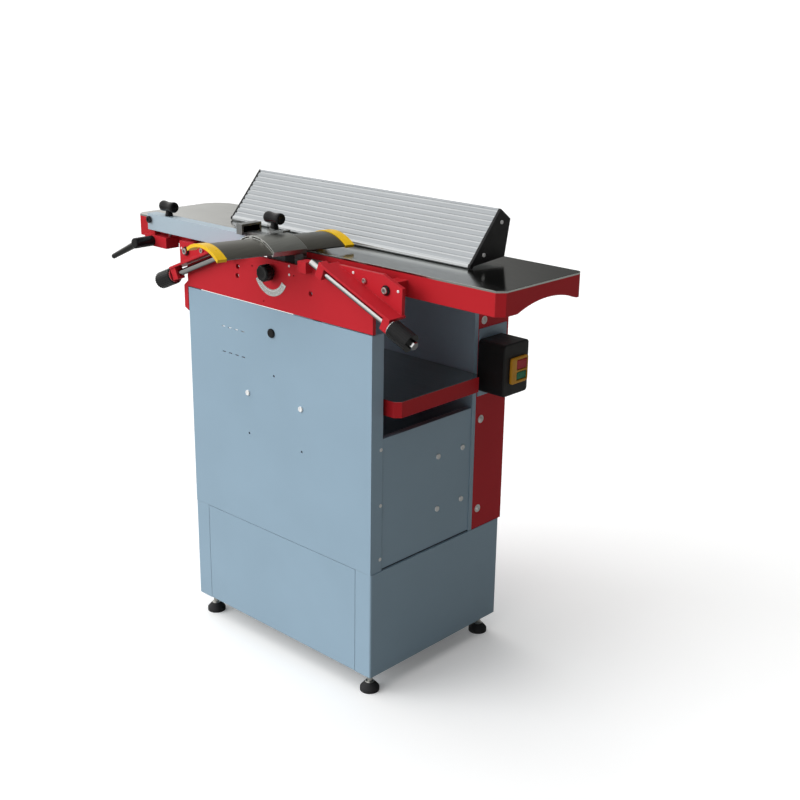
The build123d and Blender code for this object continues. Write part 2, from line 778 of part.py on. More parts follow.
sleeve_clear = 10.0
sleeve_top = lift_bottom - lift_down - sleeve_clear
column_foot = 62.0
foot_plate = 10.0
with BuildPart() as column_sleeve:
    bar_z(0, column_y, (floor_top, sleeve_top), column_radius + column_wall)
    bar_z(0, column_y, (floor_top, floor_top + foot_plate), column_foot)
    bar_z(0, column_y, (floor_top, sleeve_top), column_radius + turn_play, Mode.SUBTRACT)
column_sleeve.part.label = "column_sleeve"
export_step(column_sleeve.part, "parts/column_sleeve.step")

screw_collar = 2.0
screw_hex = 9.0
hex_length = 18.0
with BuildPart() as lead_screw:
    shoulder = floor_top + boss_height + side_play
    collar_top = cover_top + screw_collar
    bar_z(screw_x, screw_y, (stand_top, shoulder), screw_journal)
    bar_z(screw_x, screw_y, (shoulder, collar_top), screw_radius)
    with BuildSketch(Plane.XY.offset(collar_top)):
        with Locations((screw_x, screw_y)):
            RegularPolygon(screw_hex, 6)
    extrude(amount=hex_length)
lead_screw.part.label = "lead_screw"
export_step(lead_screw.part, "parts/lead_screw.step")

# Hinge brackets behind the rear wall, each with its two pins
ear_reach = hinge_arm / 2 + side_play
hinge_plate_drop = 59.0
hinge_plate_gap = 2.0
guide_play = 1.0
hinge_bottom = hinge_z - hinge_plate_drop
hinge_top = wall_low - hinge_plate_gap


def hinge_bracket(sign, seat, slots):
    """Plate on the rear wall with an ear on each side of the table's two hinge arms, and their pins."""
    x_in = hinge_places[0] - ear_reach - ear
    x_out = hinge_places[1] + ear_reach + ear
    plate_y = (seat, seat + hinge_plate)
    with BuildPart() as bracket:
        block(sorted((sign * x_in, sign * x_out)), plate_y, (hinge_bottom, hinge_top))
        for x in slots:
            half_x = guide_bolt + guide_play
            half_z = half_x + lower_travel
            slot_z = (guide_bolt_z - half_z, guide_bolt_z + half_z)
            block((x - half_x, x + half_x), plate_y, slot_z, Mode.SUBTRACT)
        for place in hinge_places:
            for start in (place - ear_reach - ear, place + ear_reach):
                ear_x = sorted((sign * start, sign * (start + ear)))
                with BuildSketch(Plane.YZ.offset(ear_x[0])):
                    with BuildLine():
                        Polyline(
                            (seat, hinge_bottom),
                            (hinge_y - hinge_knuckle, hinge_bottom),
                            (hinge_y + hinge_knuckle, hinge_z),
                            (hinge_y - hinge_knuckle, hinge_z),
                            (plate_y[1], hinge_top),
                            (seat, hinge_top),
                            close=True,
                        )
                    make_face()
                    with Locations((hinge_y, hinge_z)):
                        Circle(hinge_knuckle)
                        Circle(hinge_pin + pin_play, mode=Mode.SUBTRACT)
                extrude(amount=ear)
            pin_x = sorted((sign * (place - ear_reach - ear), sign * (place + ear_reach + ear)))
            bar_x(pin_x, hinge_y, hinge_z, hinge_pin)
    return bracket


infeed_hinge = hinge_bracket(1, wall_back + side_play, guide_bolts)
infeed_hinge.part.label = "infeed_hinge"
export_step(infeed_hinge.part, "parts/infeed_hinge.step")

outfeed_hinge = hinge_bracket(-1, wall_back, ())
outfeed_hinge.part.label = "outfeed_hinge"
export_step(outfeed_hinge.part, "parts/outfeed_hinge.step")

# Cast tables: a ground plate on aprons, with hinge arms at the back and bosses for the lock bracket
corner_cut = (14.0, 15.0)
corner_round = 12.0
big_round = 60.0
arch_ends = (47.0, 236.0)
arch_rise = 17.0
boss_places = (side - 73, side + 21)
boss_half = 14.0
infeed_boss = (top - 44, top - 16)
outfeed_boss = (top - 49, top - 28)


def planer_table(sign, boss_levels, rear_round):
    """One table; sign is 1 for the infeed end and -1 for the outfeed end."""
    with BuildPart() as table:
        with BuildSketch(Plane.XY.offset(plate_bottom)) as outline:
            with BuildLine():
                Polyline(
                    (sign * lip_gap, table_front),
                    (sign * (table_end - corner_cut[0]), table_front),
                    (sign * table_end, table_front + corner_cut[1]),
                    (sign * table_end, table_back),
                    (sign * lip_gap, table_back),
                    close=True,
                )
            make_face()
            rear_corner = vertices().group_by(Axis.Y)[-1].sort_by(Axis.X)[-1 if sign > 0 else 0]
            fillet(rear_corner, rear_round)
        extrude(amount=table_plate)
        with BuildSketch(Plane.XY.offset(apron_bottom)):
            add(outline.sketch_local)
            offset(outline.sketch_local, amount=-apron_wall, kind=Kind.INTERSECTION, mode=Mode.SUBTRACT)
            with Locations((sign * (lip_gap + apron_start) / 2, (table_front + table_back) / 2)):
                Rectangle(apron_start - lip_gap, table_width + 2, mode=Mode.SUBTRACT)
        extrude(amount=plate_bottom - apron_bottom)
        end_x = sorted((sign * (table_end - 2 * apron_wall), sign * table_end))
        with BuildSketch(Plane.YZ.offset(end_x[0])):
            with BuildLine():
                low = apron_bottom - 1
                ends = (table_front + arch_ends[0], table_front + arch_ends[1])
                crown = (sum(ends) / 2, apron_bottom + arch_rise)
                arch = ThreePointArc((ends[0], low), crown, (ends[1], low))
                Line(arch @ 1, arch @ 0)
            make_face()
        extrude(amount=2 * apron_wall, mode=Mode.SUBTRACT)
        for place in boss_places:
            x = sorted((sign * (place - boss_half), sign * (place + boss_half)))
            block(x, (bracket_y, table_front), boss_levels)
        for place in hinge_places:
            x = sorted((sign * (place - hinge_arm / 2), sign * (place + hinge_arm / 2)))
            arm_z_ends = (hinge_z - hinge_knuckle, hinge_z + hinge_knuckle)
            block(x, (table_back - apron_wall, hinge_y), arm_z_ends)
            bar_x(x, hinge_y, hinge_z, hinge_knuckle)
            bar_x(x, hinge_y, hinge_z, hinge_pin + turn_play, Mode.SUBTRACT)
    return table


infeed_table = planer_table(1, infeed_boss, corner_round)
infeed_table.part.label = "infeed_table"
export_step(infeed_table.part, "parts/infeed_table.step")

outfeed_table = planer_table(-1, outfeed_boss, big_round)
outfeed_table.part.label = "outfeed_table"
export_step(outfeed_table.part, "parts/outfeed_table.step")

# Lock brackets: a plate on the table's bosses, a slanting flange and two lugs that hold the lock rod
slope = radians(rod_slope)
lug_front = 11.0
lug_gap = 2.0
lug_below = 12.0
flange_ends = (1.0, 9.0)


def rod_plane(sign):
    """Plane across the lock rod at its middle; its normal runs down the rod, its y axis up from it."""
    inset, drop = rods[sign][:2]
    return Plane(
        origin=(sign * (side - inset), rod_y, top - drop),
        x_dir=(0, sign, 0),
        z_dir=(sign * cos(slope), 0, -sin(slope)),
    )


def along_rod(sign, y, height, run, mode=Mode.ADD):
    """A bar of rectangular section along the lock rod: y and height across it, run along it."""
    with BuildSketch(rod_plane(sign).offset(run[0])) as section:
        with Locations((sign * ((y[0] + y[1]) / 2 - rod_y), (height[0] + height[1]) / 2)):
            Rectangle(y[1] - y[0], height[1] - height[0])
    extrude(section.sketch, amount=run[1] - run[0], mode=mode)


def lock_bracket(sign, outline):
    """Bracket welded from a plate, a flange and two lugs."""
    plate_y = (bracket_y - bracket_plate, bracket_y)
    flange_y = (plate_y[0] - flange_reach, bracket_y)
    flange_top = flange_height + flange_thickness
    flange_run = (lug_places[0] + flange_ends[0], lug_places[1] + flange_ends[1])
    with BuildPart() as bracket:
        with BuildSketch(Plane.XZ.offset(-plate_y[1])):
            with BuildLine():
                Polyline(*[(sign * x, z) for x, z in outline], close=True)
            make_face()
        extrude(amount=bracket_plate)
        along_rod(sign, flange_y, (flange_height, flange_top), flange_run)
        for place in lug_places:
            run = (place - lug_length / 2, place + lug_length / 2)
            along_rod(sign, (rod_y - lug_front, front - lug_gap), (-lug_below, flange_top), run)
        with BuildSketch(rod_plane(sign).offset(lug_places[0] - lug_length)) as bore:
            Circle(rod_radius + turn_play)
        extrude(bore.sketch, amount=lug_places[1] - lug_places[0] + 2 * lug_length, mode=Mode.SUBTRACT)
    return bracket


def flange_line(sign, x):
    """Height of the middle of the flange at a distance x from the machine's middle."""
    inset, drop = rods[sign][:2]
    rise = flange_height + flange_thickness / 2
    return top - drop + rise * cos(slope) - (x - (side - inset) - rise * sin(slope)) * tan(slope)


infeed_outline = (
    (side - 110, flange_line(1, side - 110)),
    (side - 107, top - 2),
    (side + 12, top - 2),
    (side + 63, top - 21),
    (side + 62, flange_line(1, side + 62)),
)
infeed_bracket = lock_bracket(1, infeed_outline)
infeed_bracket.part.label = "infeed_bracket"
export_step(infeed_bracket.part, "parts/infeed_bracket.step")

outfeed_outline = (
    (side - 95, flange_line(-1, side - 75)),
    (side - 95, top - 28),
    (side + 43, top - 28),
    (side + 42, flange_line(-1, side + 42)),
    (side - 75, flange_line(-1, side - 75)),
)
outfeed_bracket = lock_bracket(-1, outfeed_outline)
outfeed_bracket.part.label = "outfeed_bracket"
export_step(outfeed_bracket.part, "parts/outfeed_bracket.step")


collar_width = 2.5
collar_radius = 17.0
rod_hex = (9.0, 10.0)
grip_ribs = 24
grip_cut = (1.6, 2.4)


def lock_rod(sign):
    """Chromed rod with a collar and a hexagon bolt end."""
    with BuildPart() as rod:
        for start, end, radius in (
            (rods[sign][2], rod_collar + grip_length, rod_radius),
            (rod_collar, rod_collar + collar_width, collar_radius),
        ):
            with BuildSketch(rod_plane(sign).offset(start)):
                Circle(radius)
            extrude(amount=end - start)
        with BuildSketch(rod_plane(sign).offset(rod_collar + grip_length)):
            RegularPolygon(rod_hex[0], 6)
        extrude(amount=rod_hex[1])
    return rod


def rod_grip(sign):
    """Ribbed plastic grip on the lower end of the rod."""
    with BuildPart() as grip:
        with BuildSketch(rod_plane(sign).offset(rod_collar + collar_width)):
            Circle(grip_radius)
            with PolarLocations(grip_radius, grip_ribs):
                Rectangle(*grip_cut, mode=Mode.SUBTRACT)
            Circle(rod_radius, mode=Mode.SUBTRACT)
        extrude(amount=grip_length - collar_width)
    return grip


infeed_lock_rod = lock_rod(1)
infeed_lock_rod.part.label = "infeed_lock_rod"
export_step(infeed_lock_rod.part, "parts/infeed_lock_rod.step")

outfeed_lock_rod = lock_rod(-1)
outfeed_lock_rod.part.label = "outfeed_lock_rod"
export_step(outfeed_lock_rod.part, "parts/outfeed_lock_rod.step")

infeed_grip = rod_grip(1)
infeed_grip.part.label = "infeed_grip"
export_step(infeed_grip.part, "parts/infeed_grip.step")

outfeed_grip = rod_grip(-1)
outfeed_grip.part.label = "outfeed_grip"
export_step(outfeed_grip.part, "parts/outfeed_grip.step")

# Cutting-depth knob and its scale on the upper front plate
knob_radius = 18.0
knob_reach = 26.0
knob_neck = (11.0, 5.0)
knob_edge = 3.0
with BuildPart() as depth_knob:
    bar_y(knob_x, (front - knob_neck[1], front - side_play), knob_z, knob_neck[0])
    bar_y(knob_x, (front - knob_reach, front - knob_neck[1]), knob_z, knob_radius)
    fillet(depth_knob.faces().sort_by(Axis.Y)[0].edges(), knob_edge)
    bar_y(knob_x, (front - side_play, front + plate), knob_z, knob_shaft)
depth_knob.part.label = "depth_knob"
export_step(depth_knob.part, "parts/depth_knob.step")

scale_radius = 44.0
scale_width = 14.0
scale_plate = 1.0
scale_arc = (204.0, 130.0)
with BuildPart() as depth_scale:
    with BuildSketch(Plane.XZ.offset(-front)):
        with BuildLine():
            inside = CenterArc((knob_x, knob_z), scale_radius - scale_width / 2, *scale_arc)
            outside = CenterArc((knob_x, knob_z), scale_radius + scale_width / 2, *scale_arc)
            Line(inside @ 0, outside @ 0)
            Line(inside @ 1, outside @ 1)
        make_face()
    extrude(amount=scale_plate)
depth_scale.part.label = "depth_scale"
export_step(depth_scale.part, "parts/depth_scale.step")

# Fence: a ribbed hollow extrusion on a hinge bead, carried by a slide behind the outfeed table
bead_u, bead_v = bead_place
tilt = radians(fence_tilt)
pivot_y = fence_edge + bead_u * sin(tilt) + bead_v * cos(tilt)
pivot_z = top + fence_rise
fence_x = (fence_offset - fence_length / 2, fence_offset + fence_length / 2)
fence_section = ((0, 0), (fence_height, 0), (fence_height + 3, 38), (75, 75))
tongue_play = 0.5
hinge_wire = 2.0
wire_half = 42.0
wire_room = 3.0
notch_room = 1.5


def fence_plane(x):
    """Plane across the fence with its x axis up the face and its y axis out of the face."""
    return Plane(origin=(x, pivot_y, pivot_z), x_dir=(0, sin(tilt), cos(tilt)), z_dir=(1, 0, 0))


def fence_points():
    """Corners of the fence's section about the hinge."""
    return [(u - bead_u, bead_v - v) for u, v in fence_section]


with BuildPart() as fence_extrusion:
    body_x = (fence_x[0] + cap_thickness, fence_x[1] - cap_thickness)
    with BuildSketch(fence_plane(body_x[0])):
        with BuildLine():
            Polyline(*fence_points(), close=True)
        make_face()
        offset(amount=-fence_wall, kind=Kind.INTERSECTION, mode=Mode.SUBTRACT)
        Circle(bead_radius)
        first = bead_radius + groove_width
        pitch = (fence_height - bead_u - first) / groove_count
        for i in range(groove_count):
            with Locations((first + (i + 0.5) * pitch, bead_v)):
                Rectangle(groove_width, 2 * groove_depth, mode=Mode.SUBTRACT)
    extrude(amount=body_x[1] - body_x[0])
    notch = (guide_x - tongue_width / 2 - tongue_play, guide_x + tongue_width / 2 + tongue_play)
    bar_x(notch, pivot_y, pivot_z, bead_radius + notch_room, Mode.SUBTRACT)
    wire_bore = (guide_x - wire_half - wire_room, guide_x + wire_half + wire_room)
    bar_x(wire_bore, pivot_y, pivot_z, hinge_wire + turn_play, Mode.SUBTRACT)
fence_extrusion.part.label = "fence_extrusion"
export_step(fence_extrusion.part, "parts/fence_extrusion.step")

with BuildPart() as fence_end_caps:
    for x in (fence_x[0], fence_x[1] - cap_thickness):
        with BuildSketch(fence_plane(x)):
            with BuildLine():
                Polyline(*fence_points(), close=True)
            make_face()
            Circle(bead_radius)
        extrude(amount=cap_thickness)
fence_end_caps.part.label = "fence_end_caps"
export_step(fence_end_caps.part, "parts/fence_end_caps.step")

guide_drop = 5.0
guide_height = 20.0
guide_z = (top - guide_drop - guide_height, top - guide_drop)
with BuildPart() as fence_guide:
    guide_sides = (guide_x - guide_width / 2, guide_x + guide_width / 2)
    block(guide_sides, (table_back, table_back + guide_length), guide_z)
fence_guide.part.label = "fence_guide"
export_step(fence_guide.part, "parts/fence_guide.step")

carriage_gap = 14.0
carriage_length = 38.0
carriage_wall = 8.0
carriage_rise = 12.0
slide_play = 0.1
tongue_round = 4.9
knob_screw = 4.0
carriage_y = (table_back + carriage_gap, table_back + carriage_gap + carriage_length)
carriage_top = top + carriage_rise
with BuildPart() as fence_carriage:
    outer = (guide_sides[0] - carriage_wall, guide_sides[1] + carriage_wall)
    block(outer, carriage_y, (guide_z[0] - carriage_wall, carriage_top))
    inner = (guide_sides[0] - slide_play, guide_sides[1] + slide_play)
    block(inner, carriage_y, (guide_z[0] - slide_play, guide_z[1] + slide_play), Mode.SUBTRACT)
    tongue_x = (guide_x - tongue_width / 2, guide_x + tongue_width / 2)
    block(tongue_x, (pivot_y, carriage_y[0]), (top + tongue_play, top + tongue_play + tongue))
    bar_x(tongue_x, pivot_y, pivot_z, tongue_round)
    bar_x(tongue_x, pivot_y, pivot_z, hinge_wire + pin_play, Mode.SUBTRACT)
    bar_x((guide_x - wire_half, guide_x + wire_half), pivot_y, pivot_z, hinge_wire)
    knob_bore_y = sum(carriage_y) / 2
    bar_z(guide_x, knob_bore_y, (guide_z[1], carriage_top), knob_screw + turn_play, Mode.SUBTRACT)
fence_carriage.part.label = "fence_carriage"
export_step(fence_carriage.part, "parts/fence_carriage.step")

neck_radius = 9.0
neck_height = 9.0
lobe_pitch = 22.0
lobe_width = 24.0
lobe_height = 24.0
lobe_edge = 7.0


def wing_knob(x, y, z, stem_end):
    """Two-lobed plastic knob on a round neck, with its screw down to stem_end."""
    with BuildPart() as knob:
        bar_z(x, y, (z, z + neck_height), neck_radius)
        with BuildSketch(Plane.XY.offset(z + neck_height)):
            with Locations((x, y)):
                SlotCenterToCenter(lobe_pitch, lobe_width)
        extrude(amount=lobe_height)
        fillet(knob.faces().sort_by(Axis.Z)[-1].edges(), lobe_edge)
        bar_z(x, y, (stem_end, z), knob_screw)
    return knob


fence_clamp_knob = wing_knob(guide_x, knob_bore_y, carriage_top + side_play, guide_z[1] + side_play)
fence_clamp_knob.part.label = "fence_clamp_knob"
export_step(fence_clamp_knob.part, "parts/fence_clamp_knob.step")

# Cutter guard: an arched strip with yellow end caps, sliding through a sleeve on the swinging arm
yaw = radians(guard_yaw)
guard_z = top + guard_rise
arch_radius = ((guard_width / 2) ** 2 + guard_crest**2) / (2 * guard_crest)
arch_half = degrees(asin(guard_width / 2 / arch_radius))
arch_center = guard_crest - arch_radius
guard_plane = Plane(
    origin=(guard_x, guard_y, guard_z),
    x_dir=(cos(yaw), -sin(yaw), 0),
    z_dir=(-sin(yaw), -cos(yaw), 0),
)


def arch_band(low, high, half_angle):
    """A curved band of the guard's section between two offsets from its top face."""
    with BuildSketch(mode=Mode.PRIVATE) as band:
        with BuildLine():
            span = (90 - half_angle, 2 * half_angle)
            under = CenterArc((0, arch_center), arch_radius + low, *span)
            over = CenterArc((0, arch_center), arch_radius + high, *span)
            Line(under @ 0, over @ 0)
            Line(under @ 1, over @ 1)
        make_face()
    return band.sketch


strip_half = guard_length / 2 - guard_cap
with BuildPart() as guard_profile:
    with BuildSketch(guard_plane.offset(-strip_half)):
        add(arch_band(-guard_wall, 0, arch_half))
    extrude(amount=2 * strip_half)
guard_profile.part.label = "guard_profile"
export_step(guard_profile.part, "parts/guard_profile.step")

cap_wall = 2.0
cap_angle = 0.6
with BuildPart() as guard_caps:
    for start in (-guard_length / 2, strip_half):
        with BuildSketch(guard_plane.offset(start)):
            add(arch_band(-guard_wall - cap_wall, cap_wall, arch_half + cap_angle))
        extrude(amount=guard_cap)
guard_caps.part.label = "guard_caps"
export_step(guard_caps.part, "parts/guard_caps.step")

gap_angle = 0.3
wall_angle = 1.2
chamber_half = 7.5
chamber_turn = 19.0
arch_axis = Axis((0, arch_center, 0), (0, 0, 1))
with BuildPart() as guard_sleeve:
    outside = sleeve_gap + sleeve_wall
    under = -guard_wall - sleeve_gap
    with BuildSketch(guard_plane.offset(-sleeve_shift - sleeve_length / 2)):
        add(arch_band(under - sleeve_lip, outside, arch_half + wall_angle))
        add(arch_band(under, sleeve_gap, arch_half + gap_angle), mode=Mode.SUBTRACT)
        chamber = arch_band(sleeve_gap + sleeve_skin, outside - sleeve_skin, chamber_half)
        for angle in (-chamber_turn, 0, chamber_turn):
            add(chamber.rotate(arch_axis, angle), mode=Mode.SUBTRACT)
    extrude(amount=sleeve_length)
guard_sleeve.part.label = "guard_sleeve"
export_step(guard_sleeve.part, "parts/guard_sleeve.step")

arm_low = top + arm_z[0]
arm_high = top + arm_z[1]
pivot_level = top + pivot_rise
arm_pin = 5.0
arm_knob_x = -395.0
screw_bore = knob_screw + turn_play
with BuildPart() as guard_arm:
    block(arm_x, arm_y, (arm_low, arm_high))
    hollow_y = (arm_y[0] + arm_wall, arm_y[1] - arm_wall)
    block((arm_x[0], arm_x[1] - arm_wall), hollow_y, (arm_low, arm_high - arm_wall), Mode.SUBTRACT)
    bar_y(pivot_x, arm_y, pivot_level, arm_pin + turn_play, Mode.SUBTRACT)
    arm_mid = sum(arm_y) / 2
    bar_z(arm_knob_x, arm_mid, (arm_high - arm_wall, arm_high), screw_bore, Mode.SUBTRACT)
guard_arm.part.label = "guard_arm"
export_step(guard_arm.part, "parts/guard_arm.step")

clamp_x = (-131.0, -113.0)
clamp_rise = 37.0
clamp_wall = 4.5
clamp_overhang = (11.0, 17.0)
clamp_y = (arm_y[0] - clamp_overhang[0], arm_y[1] + clamp_overhang[1])
clamp_z = (arm_high, top + clamp_rise)
bridge_half = 10.0
bridge_thickness = 6.0
saddle_x = (-60.0, 0.0)
saddle_wall = 4.5
boss_radius = 10.0
boss_bore = 5.0
guard_knob_x = -38.0
sleeve_outer = arch_radius + sleeve_gap + sleeve_wall


def sleeve_round(radius):
    """Circle about the guard's axis, on the plane of the guard's near end."""
    with BuildSketch(guard_plane.offset(-guard_length / 2)) as disc:
        with Locations((0, arch_center)):
            Circle(radius)
    return disc.sketch


with BuildPart() as guard_clamp_block:
    bridge_y = (arm_mid - bridge_half, arm_mid + bridge_half)
    block(saddle_x, bridge_y, clamp_z)
    extrude(sleeve_round(sleeve_outer + saddle_wall), amount=guard_length, mode=Mode.INTERSECT)
    bar_z(guard_knob_x, arm_mid, clamp_z, boss_radius)
    block((clamp_x[1], saddle_x[0]), bridge_y, (arm_high, arm_high + bridge_thickness))
    extrude(sleeve_round(sleeve_outer), amount=guard_length, mode=Mode.SUBTRACT)
    block(clamp_x, clamp_y, clamp_z)
    hollow_x = (clamp_x[0] + clamp_wall, clamp_x[1])
    hollow_y = (clamp_y[0] + clamp_wall, clamp_y[1] - clamp_wall)
    block(hollow_x, hollow_y, (clamp_z[0] + clamp_wall, clamp_z[1] - clamp_wall), Mode.SUBTRACT)
    bar_z(guard_knob_x, arm_mid, (clamp_z[1] - boss_bore, clamp_z[1]), screw_bore, Mode.SUBTRACT)
guard_clamp_block.part.label = "guard_clamp_block"
export_step(guard_clamp_block.part, "parts/guard_clamp_block.step")

guard_stem_end = clamp_z[1] - boss_bore + side_play
guard_knob = wing_knob(guard_knob_x, arm_mid, clamp_z[1] + side_play, guard_stem_end)
guard_knob.part.label = "guard_knob"
export_step(guard_knob.part, "parts/guard_knob.step")

bracket_x = (-470.0, -390.0)
bracket_low = top - 58
bracket_high = top - 33
bracket_front = arm_y[0] - 2
arm_ear = 9.0
ear_half = 8.0
pin_head = 2.0
hub_x = -443.0
hub_z = top - 46
lever_shaft = 5.0
shaft_reach = 16.0
with BuildPart() as arm_bracket:
    block(bracket_x, (bracket_front, table_front), (bracket_low, bracket_high))
    ear_y = (arm_mid - ear_half, arm_mid + ear_half)
    block((pivot_x - arm_ear, pivot_x + arm_ear), ear_y, (bracket_high, pivot_level))
    bar_y(pivot_x, ear_y, pivot_level, arm_ear)
    bar_y(pivot_x, ear_y, pivot_level, arm_pin + pin_play, Mode.SUBTRACT)
    bar_y(pivot_x, (arm_y[0] - pin_head, arm_y[1] + pin_head), pivot_level, arm_pin)
    shaft_hole = (bracket_front, bracket_front + shaft_reach)
    bar_y(hub_x, shaft_hole, hub_z, lever_shaft + turn_play, Mode.SUBTRACT)
arm_bracket.part.label = "arm_bracket"
export_step(arm_bracket.part, "parts/arm_bracket.step")

arm_knob = wing_knob(arm_knob_x, arm_mid, arm_high + side_play, bracket_high + side_play)
arm_knob.part.label = "arm_knob"
export_step(arm_knob.part, "parts/arm_knob.step")

hub_radius = 12.0
hub_length = 50.0
hub_edge = 3.0
lever_length = 111.0
lever_drop = 25.0
lever_inset = 11.0
lever_radii = (8.0, 6.0)
lever_end = 12.0
tip_edge = 4.0
hub_back = bracket_front - side_play
hub_front = hub_back - hub_length
with BuildPart() as arm_lever:
    bar_y(hub_x, (hub_front, hub_back), hub_z, hub_radius)
    fillet(arm_lever.faces().sort_by(Axis.Y)[0].edges(), hub_edge)
    lever_plane = Plane(
        origin=(hub_x, hub_front + lever_inset, hub_z),
        x_dir=(0, 1, 0),
        z_dir=(-cos(radians(lever_drop)), 0, -sin(radians(lever_drop))),
    )
    with BuildSketch(lever_plane):
        Circle(lever_radii[0])
    with BuildSketch(lever_plane.offset(lever_length - lever_end)):
        Circle(lever_radii[1])
    loft()
    with BuildSketch(lever_plane.offset(lever_length - lever_end)):
        Circle(lever_radii[1])
    extrude(amount=lever_end)
    fillet(arm_lever.faces().sort_by(Axis.X)[0].edges(), tip_edge)
    bar_y(hub_x, (hub_back, bracket_front + shaft_reach - side_play), hub_z, lever_shaft)
arm_lever.part.label = "arm_lever"
export_step(arm_lever.part, "parts/arm_lever.step")

# Switch on the right side of the rear cover
mount_y = (cover_front + 2, cover_back - 8)
mount_z = (top - 320, top - 170)
box_y = (cover_front, cover_front + 84)
box_z = (top - 307, top - 192)
mount_x = (shell_side, shell_side + switch_rest)
box_x = (mount_x[1], mount_x[1] + switch_depth)
face_y = (box_y[0] + 20, box_y[1] - 8)
face_z = (top - 281, top - 224)
face_thickness = 3.0
stop_size = ((box_y[0] + 38, box_y[1] - 11), (top - 252, top - 230))
start_size = ((box_y[0] + 38, box_y[1] - 11), (top - 275, top - 257))
pocket_depth = 14.0
box_corner = 8.0
box_edge = 3.0
button_edge = 2.5
button_room = 2.0
stop_proud = 2.5
start_proud = 1.5
with BuildPart() as switch_mount_plate:
    block(mount_x, mount_y, mount_z)
switch_mount_plate.part.label = "switch_mount_plate"
export_step(switch_mount_plate.part, "parts/switch_mount_plate.step")

pocket_x = (box_x[1] - pocket_depth, box_x[1])
with BuildPart() as switch_box:
    block(box_x, box_y, box_z)
    fillet(switch_box.edges().filter_by(Axis.X), box_corner)
    fillet(switch_box.faces().sort_by(Axis.X)[-1].edges(), box_edge)
    for y, z in (stop_size, start_size):
        block(pocket_x, y, z, Mode.SUBTRACT)
switch_box.part.label = "switch_box"
export_step(switch_box.part, "parts/switch_box.step")

with BuildPart() as switch_face:
    block((box_x[1], box_x[1] + face_thickness), face_y, face_z)
    for y, z in (stop_size, start_size):
        block((box_x[1], box_x[1] + face_thickness), y, z, Mode.SUBTRACT)
switch_face.part.label = "switch_face"
export_step(switch_face.part, "parts/switch_face.step")


def push_button(size, proud):
    """A button in its pocket, standing proud of the yellow face."""
    y = (size[0][0] + button_gap, size[0][1] - button_gap)
    z = (size[1][0] + button_gap, size[1][1] - button_gap)
    with BuildPart() as button:
        block((pocket_x[0] + button_travel + button_room, box_x[1] + face_thickness + proud), y, z)
        fillet(button.faces().sort_by(Axis.X)[-1].edges(), button_edge)
    return button


stop_button = push_button(stop_size, stop_proud)
stop_button.part.label = "stop_button"
export_step(stop_button.part, "parts/stop_button.step")

start_button = push_button(start_size, start_proud)
start_button.part.label = "start_button"
export_step(start_button.part, "parts/start_button.step")
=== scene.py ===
import json
from math import cos, pi, radians, sin

import bmesh
import bpy
from mathutils import Matrix, Vector


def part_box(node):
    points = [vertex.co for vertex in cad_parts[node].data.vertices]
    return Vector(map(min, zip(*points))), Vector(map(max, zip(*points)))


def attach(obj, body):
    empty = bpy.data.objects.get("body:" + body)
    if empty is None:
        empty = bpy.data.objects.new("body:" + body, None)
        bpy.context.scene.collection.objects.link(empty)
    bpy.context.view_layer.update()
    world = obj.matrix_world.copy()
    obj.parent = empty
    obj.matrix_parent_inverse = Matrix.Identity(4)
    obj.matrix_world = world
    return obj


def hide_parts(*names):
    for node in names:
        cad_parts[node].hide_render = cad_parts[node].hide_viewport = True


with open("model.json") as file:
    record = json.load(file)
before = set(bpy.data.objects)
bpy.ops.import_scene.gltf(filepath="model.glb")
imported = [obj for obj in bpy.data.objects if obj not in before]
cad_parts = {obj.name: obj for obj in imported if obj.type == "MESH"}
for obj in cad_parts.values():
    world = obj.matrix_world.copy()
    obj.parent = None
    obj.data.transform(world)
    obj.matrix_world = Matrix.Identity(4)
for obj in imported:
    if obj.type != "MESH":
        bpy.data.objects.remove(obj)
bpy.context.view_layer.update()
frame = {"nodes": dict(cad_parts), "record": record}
nodes = frame["nodes"]

# The room: a pale seamless floor, soft light from above and from the operator's left, and a sky that is
# bright on that side, with a bright door behind the outfeed end, and dim elsewhere. The machine's right side
# stays darker than its front. The floor gives back less light than it shows, as in a dark hall.
scene = bpy.context.scene
scene.view_settings.view_transform = "Standard"


def place(tree, kind, **settings):
    """Adds a node to a tree and sets its properties."""
    node = tree.nodes.new(kind)
    for key, value in settings.items():
        setattr(node, key, value)
    return node


def new_material(name):
    """A node material; gives it back with its tree, its Principled shader and its Object coordinates."""
    material = bpy.data.materials.new(name)
    material.use_nodes = True
    tree = material.node_tree
    shader = tree.nodes["Principled BSDF"]
    coordinates = place(tree, "ShaderNodeTexCoord")
    return material, tree, shader, coordinates.outputs["Object"]


def keep_mesh(name, mesh, *materials):
    """Puts a finished mesh in the scene as an object at the origin."""
    for material in materials:
        mesh.materials.append(material)
    piece = bpy.data.objects.new(name, mesh)
    scene.collection.objects.link(piece)
    return piece


def mixed(tree, mask, first, second):
    """Goes from the first colour to the second with a mask; either may be a plain colour."""
    node = place(tree, "ShaderNodeMix", data_type="RGBA")
    tree.links.new(mask, node.inputs["Factor"])
    for socket, value in ((node.inputs[6], first), (node.inputs[7], second)):
        if isinstance(value, tuple):
            socket.default_value = (*value, 1.0)
        else:
            tree.links.new(value, socket)
    return node.outputs[2]


